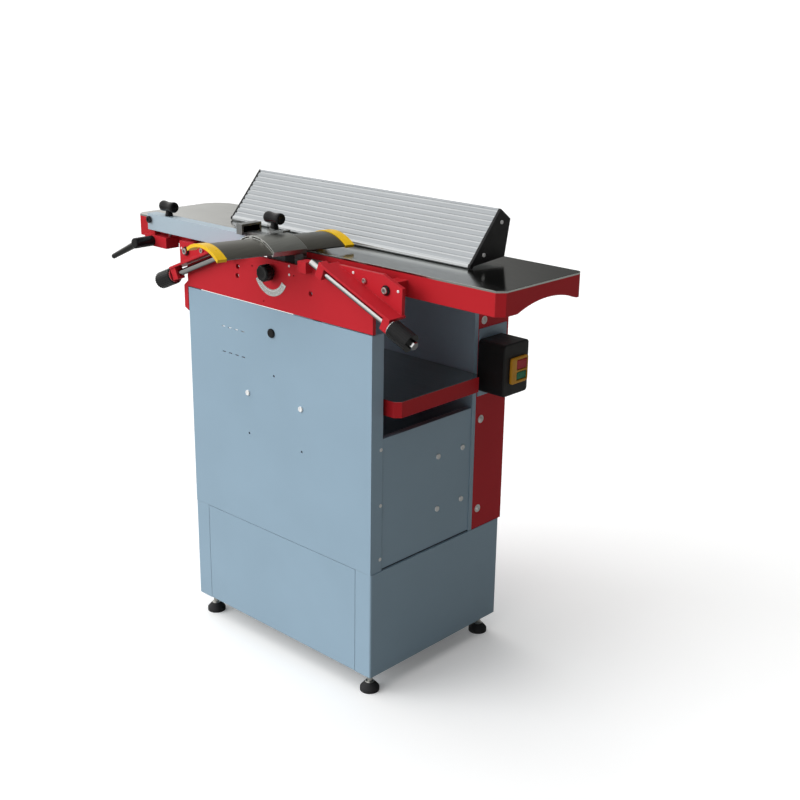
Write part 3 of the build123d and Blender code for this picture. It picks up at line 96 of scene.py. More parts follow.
floor_paper, tree, shader, coordinates = new_material("floor paper")
fibres = place(tree, "ShaderNodeTexNoise")
fibres.inputs["Scale"].default_value = 3.0
paper_tone = place(tree, "ShaderNodeMapRange")
paper_tone.inputs["To Min"].default_value = 0.95
paper_tone.inputs["To Max"].default_value = 0.99
tree.links.new(coordinates, fibres.inputs["Vector"])
tree.links.new(fibres.outputs["Fac"], paper_tone.inputs["Value"])
seen = place(tree, "ShaderNodeLightPath").outputs["Is Camera Ray"]
tree.links.new(mixed(tree, seen, (0.0, 0.0, 0.0), (1.0, 1.0, 1.0)), shader.inputs["Emission Color"])
shader.inputs["Emission Strength"].default_value = 0.12
given_back = (0.42, 0.42, 0.40)
tree.links.new(mixed(tree, seen, given_back, paper_tone.outputs["Result"]), shader.inputs["Base Color"])
shader.inputs["Roughness"].default_value = 0.9
floor_half = 300.0
floor_mesh = bpy.data.meshes.new("floor")
floor_corners = [(x, y, 0.0) for x, y in ((-1, -1), (1, -1), (1, 1), (-1, 1))]
floor_mesh.from_pydata([(x * floor_half, y * floor_half, z) for x, y, z in floor_corners], [], [(0, 1, 2, 3)])
floor = keep_mesh("floor", floor_mesh, floor_paper)

world = bpy.data.worlds.new("pale room")
world.use_nodes = True
scene.world = world
sky = world.node_tree
direction = place(sky, "ShaderNodeTexCoord").outputs["Generated"]


def sky_glow(side, low, high, dim, bright):
    """Light that grows smoothly towards one side of the sky."""
    towards = place(sky, "ShaderNodeVectorMath", operation="DOT_PRODUCT")
    towards.inputs[1].default_value = Vector(side).normalized()
    glow = place(sky, "ShaderNodeMapRange", interpolation_type="SMOOTHSTEP")
    for label, value in (("From Min", low), ("From Max", high), ("To Min", dim), ("To Max", bright)):
        glow.inputs[label].default_value = value
    sky.links.new(direction, towards.inputs[0])
    sky.links.new(towards.outputs["Value"], glow.inputs["Value"])
    return glow.outputs["Result"]


room_light = 0.045
window_light = 0.95
door_light = 0.45
window_glow = sky_glow((-0.72, -0.60, 0.32), -0.15, 0.75, room_light, window_light)
door_glow = sky_glow((-0.95, 0.25, 0.15), 0.80, 0.97, 0.0, door_light)
sky_light = place(sky, "ShaderNodeMath", operation="ADD")
pale_behind = place(sky, "ShaderNodeMath", operation="MAXIMUM")
backdrop = sky.nodes["Background"]
backdrop.inputs["Color"].default_value = (1.0, 0.99, 0.96, 1.0)
for source, target in (
    (window_glow, sky_light.inputs[0]),
    (door_glow, sky_light.inputs[1]),
    (sky_light.outputs["Value"], pale_behind.inputs[0]),
    (place(sky, "ShaderNodeLightPath").outputs["Is Camera Ray"], pale_behind.inputs[1]),
    (pale_behind.outputs["Value"], backdrop.inputs["Strength"]),
):
    sky.links.new(source, target)

for name, towards_lamp, width, strength in (
    ("top light", (-0.15, -0.10, 1.0), 75.0, 1.35),
    ("left light", (-0.56, -0.78, 0.30), 50.0, 2.0),
):
    lamp = bpy.data.lights.new(name, "SUN")
    lamp.angle = radians(width)
    lamp.energy = strength
    lamp.color = (0.96, 0.98, 1.0)
    light = bpy.data.objects.new(name, lamp)
    light.location = Vector(towards_lamp) * 4.0
    light.rotation_euler = Vector(towards_lamp).to_track_quat("Z", "Y").to_euler()
    light.visible_glossy = False
    scene.collection.objects.link(light)

# The camera stands to the right of the operator and a little above the tables, where the machine's front
# and its infeed end both show.
camera_azimuth = radians(42.7)
camera_elevation = radians(18.5)
camera_roll = radians(0.9)
camera_place = Vector((1.8858, -1.8636, 1.4396))
picture_pixels = 800.0
focal_pixels = 1243.4
lens = bpy.data.cameras.new("camera")
lens.sensor_width = 36.0
lens.lens = lens.sensor_width * focal_pixels / picture_pixels
level = cos(camera_elevation)
behind = Vector((sin(camera_azimuth) * level, -cos(camera_azimuth) * level, sin(camera_elevation)))
to_right = Vector((cos(camera_azimuth), sin(camera_azimuth), 0.0))
upward = behind.cross(to_right)
turned_right = to_right * cos(camera_roll) + upward * sin(camera_roll)
turned_up = upward * cos(camera_roll) - to_right * sin(camera_roll)
camera = bpy.data.objects.new("camera", lens)
camera.matrix_world = Matrix((
    (turned_right.x, turned_up.x, behind.x, camera_place.x),
    (turned_right.y, turned_up.y, behind.y, camera_place.y),
    (turned_right.z, turned_up.z, behind.z, camera_place.z),
    (0.0, 0.0, 0.0, 1.0),
))
scene.collection.objects.link(camera)
scene.camera = camera

# The stand is a folded sheet-steel box with a loose front panel, powder coated in a pale blue-grey.
# The coat is thin on the folds, a little mottled, and has a fine orange peel.


def shader_group(name, inputs, outputs):
    """A shader group with named inputs (label, kind, value) and outputs (label, kind)."""
    tree = bpy.data.node_groups.new(name, "ShaderNodeTree")
    for label, kind, value in inputs:
        socket = tree.interface.new_socket(label, in_out="INPUT", socket_type="NodeSocket" + kind)
        socket.default_value = value
    for label, kind in outputs:
        tree.interface.new_socket(label, in_out="OUTPUT", socket_type="NodeSocket" + kind)
    return tree, place(tree, "NodeGroupInput"), place(tree, "NodeGroupOutput")


def ranged(tree, source, low, high, to_low, to_high):
    """Maps a value that runs from low to high onto another range, and holds it there."""
    node = place(tree, "ShaderNodeMapRange")
    for label, value in (("From Min", low), ("From Max", high), ("To Min", to_low), ("To Max", to_high)):
        node.inputs[label].default_value = value
    tree.links.new(source, node.inputs["Value"])
    return node.outputs["Result"]


def speckle(tree, vector, scale, detail=3.0):
    """Soft noise at a scale per metre."""
    node = place(tree, "ShaderNodeTexNoise")
    node.inputs["Scale"].default_value = scale
    node.inputs["Detail"].default_value = detail
    tree.links.new(vector, node.inputs["Vector"])
    return node.outputs["Fac"]


def clouded(tree, vector, scale, low, high):
    """Soft noise at a scale per metre, spread over a range."""
    return ranged(tree, speckle(tree, vector, scale), 0.3, 0.7, low, high)


def counted(tree, operation, first, second):
    """An operation on two values; either may be a plain number."""
    node = place(tree, "ShaderNodeMath", operation=operation)
    for socket, value in zip(node.inputs, (first, second)):
        if isinstance(value, (int, float)):
            socket.default_value = value
        else:
            tree.links.new(value, socket)
    return node.outputs["Value"]


# Edge wear: a mask that is one where the surface turns sharply, broken up, and the rounded normal
worn_edges, start, end = shader_group(
    "worn edges",
    [("Radius", "Float", 0.0015), ("Breaks", "Float", 90.0)],
    [("Mask", "Float"), ("Normal", "Vector")],
)
rounded = place(worn_edges, "ShaderNodeBevel", samples=4)
worn_edges.links.new(start.outputs["Radius"], rounded.inputs["Radius"])
surface = place(worn_edges, "ShaderNodeNewGeometry")
along = place(worn_edges, "ShaderNodeVectorMath", operation="DOT_PRODUCT")
worn_edges.links.new(rounded.outputs["Normal"], along.inputs[0])
worn_edges.links.new(surface.outputs["Normal"], along.inputs[1])
edge = ranged(worn_edges, along.outputs["Value"], 0.97, 0.78, 0.0, 1.0)
spots = place(worn_edges, "ShaderNodeTexNoise")
worn_edges.links.new(place(worn_edges, "ShaderNodeTexCoord").outputs["Object"], spots.inputs["Vector"])
worn_edges.links.new(start.outputs["Breaks"], spots.inputs["Scale"])
patches = ranged(worn_edges, spots.outputs["Fac"], 0.38, 0.60, 0.15, 1.0)
worn_edges.links.new(counted(worn_edges, "MULTIPLY", edge, patches), end.inputs["Mask"])
worn_edges.links.new(rounded.outputs["Normal"], end.inputs["Normal"])


def skin_group(name, *inputs):
    """A shader group for a surface; gives back its tree, its two ends and its Object coordinates."""
    tree, start, end = shader_group(
        name,
        [("Normal", "Vector", (0.0, 0.0, 0.0)), ("Depth", "Float", 0.1), ("Gloss", "Float", 0.4), *inputs],
        [("Tone", "Float"), ("Roughness", "Float"), ("Normal", "Vector")],
    )
    return tree, start, end, place(tree, "ShaderNodeTexCoord").outputs["Object"]


def close_skin(tree, start, end, tone, drift, relief, height):
    """Sets what a surface group gives: a tone, a roughness that drifts about Gloss, and a fine relief."""
    bump = place(tree, "ShaderNodeBump")
    bump.inputs["Distance"].default_value = height
    for source, target in (
        (tone, end.inputs["Tone"]),
        (counted(tree, "ADD", drift, start.outputs["Gloss"]), end.inputs["Roughness"]),
        (start.outputs["Depth"], bump.inputs["Strength"]),
        (relief, bump.inputs["Height"]),
        (start.outputs["Normal"], bump.inputs["Normal"]),
        (bump.outputs["Normal"], end.inputs["Normal"]),
    ):
        tree.links.new(source, target)


# Paint film: cloudy tone, orange peel and roughness that drifts
paint_film, start, end, here = skin_group("paint film")
tone = clouded(paint_film, here, 5.0, 0.97, 1.03)
drift = clouded(paint_film, here, 14.0, -0.02, 0.03)
peel = speckle(paint_film, here, 420.0, 2.0)
close_skin(paint_film, start, end, tone, drift, peel, 0.0006)


def group_in(tree, group, **values):
    """Places a shader group in a material and sets its inputs."""
    node = place(tree, "ShaderNodeGroup", node_tree=group)
    for label, value in values.items():
        node.inputs[label].default_value = value
    return node


def toned(tree, tone, colour):
    """A colour whose brightness follows a tone near one."""
    node = place(tree, "ShaderNodeHueSaturation")
    node.inputs["Color"].default_value = (*colour, 1.0)
    tree.links.new(tone, node.inputs["Value"])
    return node.outputs["Color"]


def finished(name, group, colour, edge, wear, radius, breaks, patch=None, patch_colour=None, **values):
    """A material whose tone, roughness and normal come from a shader group, with another colour along worn
    edges. A patch is a function that gives the mask of a part with a third colour."""
    material, tree, shader, coordinates = new_material(name)
    edges = group_in(tree, worn_edges, Radius=radius, Breaks=breaks)
    skin = group_in(tree, group, **values)
    tree.links.new(edges.outputs["Normal"], skin.inputs["Normal"])
    worn = counted(tree, "MULTIPLY", edges.outputs["Mask"], wear)
    colour_out = mixed(tree, worn, toned(tree, skin.outputs["Tone"], colour), edge)
    if patch:
        colour_out = mixed(tree, patch(tree, coordinates), colour_out, patch_colour)
    tree.links.new(colour_out, shader.inputs["Base Color"])
    for label in ("Roughness", "Normal"):
        tree.links.new(skin.outputs[label], shader.inputs[label])
    return material, shader


def painted(name, colour, bare, gloss=0.35, peel=0.06, wear=0.6, shine=0.3):
    """Sprayed paint on metal, thinner and paler along the edges."""
    values = {"Depth": peel, "Gloss": gloss}
    material, shader = finished(name, paint_film, colour, bare, wear, radius=0.0015, breaks=90.0, **values)
    shader.inputs["Specular IOR Level"].default_value = shine
    return material


def dress(material, *names):
    """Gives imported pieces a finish."""
    for name in names:
        nodes[name].data.materials.clear()
        nodes[name].data.materials.append(material)


grey_coat = painted("grey coat", (0.280, 0.392, 0.492), (0.44, 0.54, 0.62), gloss=0.38, wear=0.4)
dress(grey_coat, "stand_shell", "stand_front_panel")

# The levelling feet are black rubber pads on zinc-plated stems that go through the stand's base. Pad and
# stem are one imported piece, so the finish changes with height.


def above(tree, coordinates, level):
    """One where the Object Z coordinate is over a level, else nought."""
    split = place(tree, "ShaderNodeSeparateXYZ")
    tree.links.new(coordinates, split.inputs["Vector"])
    return counted(tree, "GREATER_THAN", split.outputs["Z"], level)


pad_height = 0.0205
foot_finish, tree, shader, coordinates = new_material("foot rubber and zinc")
is_stem = above(tree, coordinates, pad_height)
grain = speckle(tree, coordinates, 900.0)
tone = clouded(tree, coordinates, 60.0, 0.8, 1.2)
rubber = toned(tree, tone, (0.022, 0.022, 0.024))
tree.links.new(mixed(tree, is_stem, rubber, (0.60, 0.60, 0.58)), shader.inputs["Base Color"])
tree.links.new(is_stem, shader.inputs["Metallic"])
tree.links.new(ranged(tree, is_stem, 0.0, 1.0, 0.72, 0.30), shader.inputs["Roughness"])
pitted = place(tree, "ShaderNodeBump")
pitted.inputs["Strength"].default_value = 0.25
pitted.inputs["Distance"].default_value = 0.0004
tree.links.new(grain, pitted.inputs["Height"])
tree.links.new(pitted.outputs["Normal"], shader.inputs["Normal"])
dress(foot_finish, "levelling_feet")

# The body is closed by a folded front panel, two lower side panels and a rear wall, all in the stand's
# blue-grey coat. The floor plate, the motor, the column and the cutterblock's housings are dark grey.
dress(grey_coat, "front_panel", "side_panels", "rear_wall", "switch_mount_plate")
dark_coat = painted("dark coat", (0.035, 0.038, 0.042), (0.22, 0.23, 0.24), gloss=0.42)
dress(dark_coat, "body_floor", "bearing_housings", "motor", "motor_bracket", "column_sleeve")

# A black plastic plug is pressed into the hole in the front panel. The moulding has a fine grain and soft
# edges, like the machine's other black plastic.
moulded_skin, start, end, here = skin_group("moulded skin", ("Grain", "Float", 900.0))
tone = clouded(moulded_skin, here, 40.0, 0.93, 1.07)
drift = clouded(moulded_skin, here, 70.0, -0.05, 0.07)
cells = place(moulded_skin, "ShaderNodeTexVoronoi")
moulded_skin.links.new(here, cells.inputs["Vector"])
moulded_skin.links.new(start.outputs["Grain"], cells.inputs["Scale"])
close_skin(moulded_skin, start, end, tone, drift, cells.outputs["Distance"], 0.0004)


def moulded(name, colour, rubbed, gloss, depth, grain=900.0):
    """Moulded plastic with a fine grain, rubbed a little on its edges."""
    values = {"Grain": grain, "Depth": depth, "Gloss": gloss}
    material, shader = finished(
        name, moulded_skin, colour, rubbed, wear=0.35, radius=0.0008, breaks=160.0, **values
    )
    shader.inputs["Specular IOR Level"].default_value = 0.22
    return material


matt_black = moulded("matt black plastic", (0.013, 0.013, 0.014), (0.07, 0.07, 0.075), 0.45, 0.22)
dress(matt_black, "panel_plug")

# The rear cover is a deep folded box of sheet steel, bolted to the sides over the belt. A flat plate closes
# the body's front below the tables. Both are sprayed red.
red_coat = painted("red coat", (0.510, 0.022, 0.032), (0.70, 0.13, 0.15), 0.30, 0.03, 0.55, shine=0.08)
dress(red_coat, "rear_cover", "upper_front_plate")

# Screws of the body: blind rivets on the front panel's returns and the upper plate, socket screws in wide
# washers on the rear cover and behind the rear wall, and plain socket screws on the front and the side panel.
# All are zinc plated; black fills in the sockets and in the washers' dishes are painted shade.


def turned_mesh(name, profile, sides, reach_at):
    """A closed shape about Z. The profile is a list of (radius, height, form), from the axis at the bottom to
    the axis at the top; reach_at gives how far a ring of that radius and form goes out at an angle."""
    mesh = bpy.data.meshes.new(name)
    shape = bmesh.new()
    rings = []
    for radius, height, form in profile:
        if radius == 0.0:
            rings.append([shape.verts.new((0.0, 0.0, height))])
            continue
        ring = []
        for step in range(sides):
            angle = 2 * pi * step / sides
            reach = reach_at(radius, form, angle)
            ring.append(shape.verts.new((reach * cos(angle), reach * sin(angle), height)))
        rings.append(ring)
    for low, high in zip(rings, rings[1:]):
        for step in range(sides):
            after = (step + 1) % sides
            if len(low) == 1:
                shape.faces.new((low[0], high[after], high[step]))
            elif len(high) == 1:
                shape.faces.new((low[step], low[after], high[0]))
            else:
                shape.faces.new((low[step], low[after], high[after], high[step]))
    bmesh.ops.recalc_face_normals(shape, faces=shape.faces)
    shape.to_mesh(mesh)
    shape.free()
    return mesh


def corner_reach(radius, corners, angle):
    """A round ring, or one with flat sides where corners isn't nought."""
    if not corners:
        return radius
    sector = 2 * pi / corners
    return radius * cos(sector / 2) / cos(angle % sector - sector / 2)


def rings_mesh(name, profile, sides=24):
    """A turned shape from (radius, height, corners); corners is six for a hexagon, nought for a circle."""
    return turned_mesh(name, profile, sides, corner_reach)


def socket_screw(name, radius, height, shank):
    """A screw with a cheese head and a hexagon socket; its head stands on Z nought."""
    key = radius * 0.52
    return rings_mesh(name, [
        (0.0, -shank, 0), (radius * 0.5, -shank, 0), (radius * 0.5, 0.0, 0), (radius * 0.97, 0.0, 0),
        (radius, height * 0.08, 0), (radius, height * 0.75, 0), (radius * 0.94, height * 0.93, 0),
        (radius * 0.84, height, 0), (key * 1.18, height, 0), (key, height * 0.94, 6), (key, height * 0.35, 6),
        (0.0, height * 0.28, 0),
    ])


def washer_bolt(name, radius, height, shank):
    """A round-headed socket screw in a wide dished washer; the washer lies on Z nought."""
    washer = height * 0.28
    head = radius * 0.46
    key = head * 0.50
    return rings_mesh(name, [
        (0.0, -shank, 0), (radius * 0.33, -shank, 0), (radius * 0.33, 0.0, 0), (radius * 0.98, 0.0, 0),
        (radius, washer * 0.2, 0), (radius, washer * 0.8, 0), (radius * 0.95, washer, 0),
        (radius * 0.74, washer * 0.75, 0), (radius * 0.70, washer * 0.15, 0), (head, washer * 0.15, 0),
        (head, height * 0.62, 0), (head * 0.93, height * 0.84, 0), (head * 0.76, height, 0),
        (key * 1.15, height, 0), (key, height * 0.94, 6), (key, height * 0.42, 6), (0.0, height * 0.36, 0),
    ])


def domed_rivet(name, radius, height, shank):
    """A blind rivet: a low dome with the hole of its drawn-out pin."""
    return rings_mesh(name, [
        (0.0, -shank, 0), (radius * 0.5, -shank, 0), (radius * 0.5, 0.0, 0), (radius * 0.98, 0.0, 0),
        (radius, height * 0.25, 0), (radius * 0.84, height * 0.66, 0), (radius * 0.58, height * 0.93, 0),
        (radius * 0.36, height, 0), (radius * 0.30, height * 0.96, 0), (radius * 0.28, height * 0.5, 0),
        (0.0, height * 0.5, 0),
    ])


set_on_places = bpy.data.node_groups.new("set on places", "GeometryNodeTree")
for label, kind in (
    ("Places", "Geometry"), ("Shape", "Object"), ("Turn", "Vector"), ("Seed", "Int"), ("Finish", "Material"),
):
    set_on_places.interface.new_socket(label, in_out="INPUT", socket_type="NodeSocket" + kind)
set_on_places.interface.new_socket("Pieces", in_out="OUTPUT", socket_type="NodeSocketGeometry")
start = place(set_on_places, "NodeGroupInput")
shape_in = place(set_on_places, "GeometryNodeObjectInfo")
facing = place(set_on_places, "FunctionNodeEulerToRotation")
any_turn = place(set_on_places, "FunctionNodeRandomValue", data_type="FLOAT_VECTOR")
any_turn.inputs[0].default_value = (0.0, 0.0, 0.0)
any_turn.inputs[1].default_value = (0.0, 0.0, 2 * pi)
spun = place(set_on_places, "FunctionNodeEulerToRotation")
both = place(set_on_places, "FunctionNodeRotateRotation", rotation_space="LOCAL")
copies = place(set_on_places, "GeometryNodeInstanceOnPoints")
real = place(set_on_places, "GeometryNodeRealizeInstances")
coat = place(set_on_places, "GeometryNodeSetMaterial")
end = place(set_on_places, "NodeGroupOutput")
for source, target in (
    (start.outputs["Shape"], shape_in.inputs["Object"]),
    (start.outputs["Turn"], facing.inputs["Euler"]),
    (start.outputs["Seed"], any_turn.inputs["Seed"]),
    (any_turn.outputs[0], spun.inputs["Euler"]),
    (facing.outputs["Rotation"], both.inputs["Rotation"]),
    (spun.outputs["Rotation"], both.inputs["Rotate By"]),
    (start.outputs["Places"], copies.inputs["Points"]),
    (shape_in.outputs["Geometry"], copies.inputs["Instance"]),
    (both.outputs["Rotation"], copies.inputs["Rotation"]),
    (copies.outputs["Instances"], real.inputs["Geometry"]),
    (real.outputs["Geometry"], coat.inputs["Geometry"]),
    (start.outputs["Finish"], coat.inputs["Material"]),
    (coat.outputs["Geometry"], end.inputs["Pieces"]),
):
    set_on_places.links.new(source, target)


def run_tree(name, tree, mesh, **values):
    """Runs a Geometry Nodes tree on a mesh and gives back the plain mesh that it makes."""
    holder = bpy.data.objects.new(name, mesh)
    scene.collection.objects.link(holder)
    modifier = holder.modifiers.new("tree", "NODES")
    modifier.node_group = tree
    for item in tree.interface.items_tree:
        if item.in_out == "INPUT" and item.name in values:
            modifier[item.identifier] = values[item.name]
    depsgraph = bpy.context.evaluated_depsgraph_get()
    made = bpy.data.meshes.new_from_object(holder.evaluated_get(depsgraph), depsgraph=depsgraph)
    holder.modifiers.remove(modifier)
    bpy.data.objects.remove(holder)
    return made


def set_shapes(name, shape_mesh, places, turn, finish, seed):
    """Sets a shape on each place, turned to face one way; gives back one plain mesh."""
    shape = bpy.data.objects.new(name + " shape", shape_mesh)
    scene.collection.objects.link(shape)
    points = bpy.data.meshes.new(name + " places")
    points.from_pydata([tuple(spot) for spot in places], [], [])
    made = run_tree(name, set_on_places, points, Shape=shape, Turn=turn, Seed=seed, Finish=finish)
    bpy.data.objects.remove(shape)
    return made


def joined(name, meshes):
    """One mesh from several; each keeps its own finish."""
    whole = bmesh.new()
    finishes = []
    for mesh in meshes:
        material = mesh.materials[0]
        if material not in finishes:
            finishes.append(material)
        before = len(whole.faces)
        whole.from_mesh(mesh)
        whole.faces.ensure_lookup_table()
        for face in whole.faces[before:]:
            face.material_index = finishes.index(material)
    mesh = bpy.data.meshes.new(name)
    whole.to_mesh(mesh)
    whole.free()
    for material in finishes:
        mesh.materials.append(material)
    return mesh


def soft_shade(mesh, angle=35.0):
    """Smooth shading, kept crisp where faces meet at more than an angle."""
    shape = bmesh.new()
    shape.from_mesh(mesh)
    for face in shape.faces:
        face.smooth = True
    for line in shape.edges:
        if len(line.link_faces) == 2 and line.calc_face_angle() > radians(angle):
            line.smooth = False
    shape.to_mesh(mesh)
    shape.free()
    return mesh


brushed_lines, start, end, here = skin_group("brushed lines", ("Stretch", "Vector", (8.0, 700.0, 700.0)))
drawn = place(brushed_lines, "ShaderNodeVectorMath", operation="MULTIPLY")
brushed_lines.links.new(here, drawn.inputs[0])
brushed_lines.links.new(start.outputs["Stretch"], drawn.inputs[1])
lines = speckle(brushed_lines, drawn.outputs["Vector"], 1.0, 4.0)
tone = ranged(brushed_lines, lines, 0.3, 0.7, 0.92, 1.08)
drift = clouded(brushed_lines, here, 9.0, -0.04, 0.05)
close_skin(brushed_lines, start, end, tone, drift, lines, 0.0003)


def bare_metal(
    name, colour, stretch, gloss, depth=0.05, edge=(0.9, 0.9, 0.9), wear=0.35, radius=0.0008, **patch
):
    """Bare or plated metal with the lines of the tool that finished it, brighter along its edges."""
    values = {"Stretch": stretch, "Depth": depth, "Gloss": gloss, **patch}
    material, shader = finished(name, brushed_lines, colour, edge, wear, radius, breaks=140.0, **values)
    shader.inputs["Metallic"].default_value = 1.0
    return material


zinc = bare_metal("zinc plate", (0.62, 0.63, 0.62), (300.0, 300.0, 300.0), 0.28)
mm = 0.001
to_front = (radians(90.0), 0.0, 0.0)
to_rear = (radians(-90.0), 0.0, 0.0)
to_infeed = (0.0, radians(90.0), 0.0)
to_outfeed = (0.0, radians(-90.0), 0.0)
rivet = domed_rivet("panel rivet", 4.0 * mm, 1.5 * mm, 5.0 * mm)
cover_bolt = washer_bolt("cover bolt", 9.0 * mm, 4.5 * mm, 8.0 * mm)
panel_screw = socket_screw("panel screw", 6.0 * mm, 3.0 * mm, 6.0 * mm)
guide_bolt = washer_bolt("guide bolt", 9.0 * mm, 6.0 * mm, 16.6 * mm)
# A near-black material for painted shade in the screws' sockets and the washers' dishes.
socket_shade_black = moulded("painted socket shade", (0.010, 0.010, 0.010), (0.03, 0.03, 0.03), 0.55, 0.3)


def painted_shade_fill(name, radius, low, high, corners):
    """A black fill of painted shade in a socket or the dish of a washer, to a little below the rim."""
    return rings_mesh(name, [
        (0.0, low, 0), (radius, low, corners), (radius, high, corners), (0.0, high - 0.1 * mm, 0),
    ])


# The dark fills in the washers' dishes and the screws' sockets are painted shade.
washer_shade_ring = painted_shade_fill("cover washer oil", 6.4 * mm, 0.3 * mm, 1.0 * mm, 0)
socket_shade_fill = painted_shade_fill("panel screw oil", 3.06 * mm, 1.0 * mm, 2.5 * mm, 6)
front_face = -208.5 * mm
cover_side = 283.5 * mm
panel_side = 281.5 * mm
hinge_seat = 116.6 * mm
screw_meshes = []
for sign, turn in ((1, to_infeed), (-1, to_outfeed)):
    rivet_places = [(sign * cover_side, -180.5 * mm, z * mm) for z in (556, 435, 315)]
    screw_meshes.append(set_shapes("rivets", rivet, rivet_places, turn, zinc, 2))
    bolt_places = [(sign * cover_side, 132 * mm, z * mm) for z in (767, 545, 334)]
    screw_meshes.append(set_shapes("cover bolts", cover_bolt, bolt_places, turn, zinc, 5))
    screw_meshes.append(set_shapes("cover washer oil", washer_shade_ring, bolt_places, turn, socket_shade_black, 5))
side_places = [(panel_side, y * mm, z * mm) for y in (-4, 75) for z in (494, 374)]
front_places = [(79 * mm, front_face, 599 * mm), (-89 * mm, front_face, 596 * mm)]
for places, turn in ((side_places, to_infeed), (front_places, to_front)):
    screw_meshes.append(set_shapes("panel screws", panel_screw, places, turn, zinc, 7))
    screw_meshes.append(set_shapes("panel screw oil", socket_shade_fill, places, turn, socket_shade_black, 7))
plate_pin = domed_rivet("plate pin", 2.6 * mm, 1.2 * mm, 3.0 * mm)
pin_places = [(48.5 * mm, front_face, z * mm) for z in (896.8, 878.9)]
screw_meshes.append(set_shapes("plate pins", plate_pin, pin_places, to_front, zinc, 6))
guide_places = [(x * mm, hinge_seat, 845 * mm) for x in (165, 205)]
screw_meshes.append(set_shapes("guide bolts", guide_bolt, guide_places, to_rear, zinc, 4))
body_screws = keep_mesh("body_screws", soft_shade(joined("body screws", screw_meshes)))
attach(body_screws, "frame")
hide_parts("panel_fasteners")

# Inside the body, the cutterblock with its knives and bearings, the pulleys, the feed rollers with their
# chain, the lift screw and the anti-kickback fingers are turned or ground steel. The belt is black rubber.
turned_steel = bare_metal("turned steel", (0.52, 0.53, 0.54), (500.0, 30.0, 500.0), 0.30)
dress(turned_steel, "cutterblock", "cutter_knives", "cutter_bearings", "cutter_pulley", "motor_pulley")
dress(turned_steel, "infeed_roller", "outfeed_roller", "feed_chain", "lead_screw")
dress(turned_steel, "kickback_rod", "kickback_fingers")
belt_rubber = moulded("belt rubber", (0.016, 0.016, 0.016), (0.06, 0.06, 0.06), 0.75, 0.4, 500.0)
dress(belt_rubber, "drive_belt")

# The cast tables have a ground and polished top over sides that are sprayed red. The top has fine grinding
# lines along the feed and mirrors what stands on it.


def cast_table(name, top_level):
    """Ground iron above a level, red paint below it."""
    material, tree, shader, coordinates = new_material(name)
    shader.inputs["Specular IOR Level"].default_value = 0.08
    is_top = above(tree, coordinates, top_level)
    edges = group_in(tree, worn_edges, Radius=0.0018)
    film = group_in(tree, paint_film, Depth=0.10, Gloss=0.32)
    ground = group_in(tree, brushed_lines, Stretch=(9.0, 300.0, 300.0), Depth=0.012, Gloss=0.15)
    tree.links.new(edges.outputs["Normal"], film.inputs["Normal"])
    tree.links.new(edges.outputs["Normal"], ground.inputs["Normal"])
    thin = counted(tree, "MULTIPLY", edges.outputs["Mask"], 0.5)
    red = mixed(tree, thin, toned(tree, film.outputs["Tone"], (0.455, 0.018, 0.025)), (0.72, 0.14, 0.16))
    bright_edge = counted(tree, "MULTIPLY", edges.outputs["Mask"], 0.8)
    grey = toned(tree, ground.outputs["Tone"], (0.440, 0.450, 0.440))
    iron = mixed(tree, bright_edge, grey, (0.7, 0.7, 0.68))
    tree.links.new(mixed(tree, is_top, red, iron), shader.inputs["Base Color"])
    tree.links.new(is_top, shader.inputs["Metallic"])
    for label, kind in (("Roughness", "FLOAT"), ("Normal", "VECTOR")):
        either = place(tree, "ShaderNodeMix", data_type=kind)
        sockets = (2, 3, 0) if kind == "FLOAT" else (4, 5, 1)
        tree.links.new(is_top, either.inputs["Factor"])
        tree.links.new(film.outputs[label], either.inputs[sockets[0]])
        tree.links.new(ground.outputs[label], either.inputs[sockets[1]])
        tree.links.new(either.outputs[sockets[2]], shader.inputs[label])
    return material


plane_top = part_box("infeed_table")[1].z - 4.0 * mm
dress(cast_table("planing table iron", plane_top), "infeed_table", "outfeed_table")
lift_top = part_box("thickness_table")[1].z - 0.5 * mm
dress(cast_table("thickness table iron", lift_top), "thickness_table")

# Hinge brackets of steel plate, welded and sprayed red, carry the tables behind the rear wall. The fence's
# carriage slides on a bright steel guide bar.
dress(red_coat, "infeed_hinge", "outfeed_hinge")
dress(turned_steel, "fence_guide", "fence_carriage")

# Lock brackets: red steel plate with a folded flange and two lugs, screwed to the tables' fronts. Chromed
# rods turn in the lugs and end in ribbed black grips held by hexagon bolts. Where the chrome turns away from
# the eye its colour is painted near black, a painted reflection of the dark parts of a room.
dress(red_coat, "infeed_bracket", "outfeed_bracket")


def painted_dark_reflection(tree, coordinates):
    """Nearly one where the surface turns away from the eye, else nought: the mask of a painted dark
    reflection.
    """
    return ranged(tree, place(tree, "ShaderNodeLayerWeight").outputs["Facing"], 0.30, 0.55, 0.0, 0.92)


def round_mesh(name, profile, sides):
    """A round turned shape from (radius, height) in millimetres."""
    return rings_mesh(name, [(radius * mm, height * mm, 0) for radius, height in profile], sides)


chrome_colour = (0.80, 0.81, 0.82)
chrome_lines = (60.0, 400.0, 400.0)
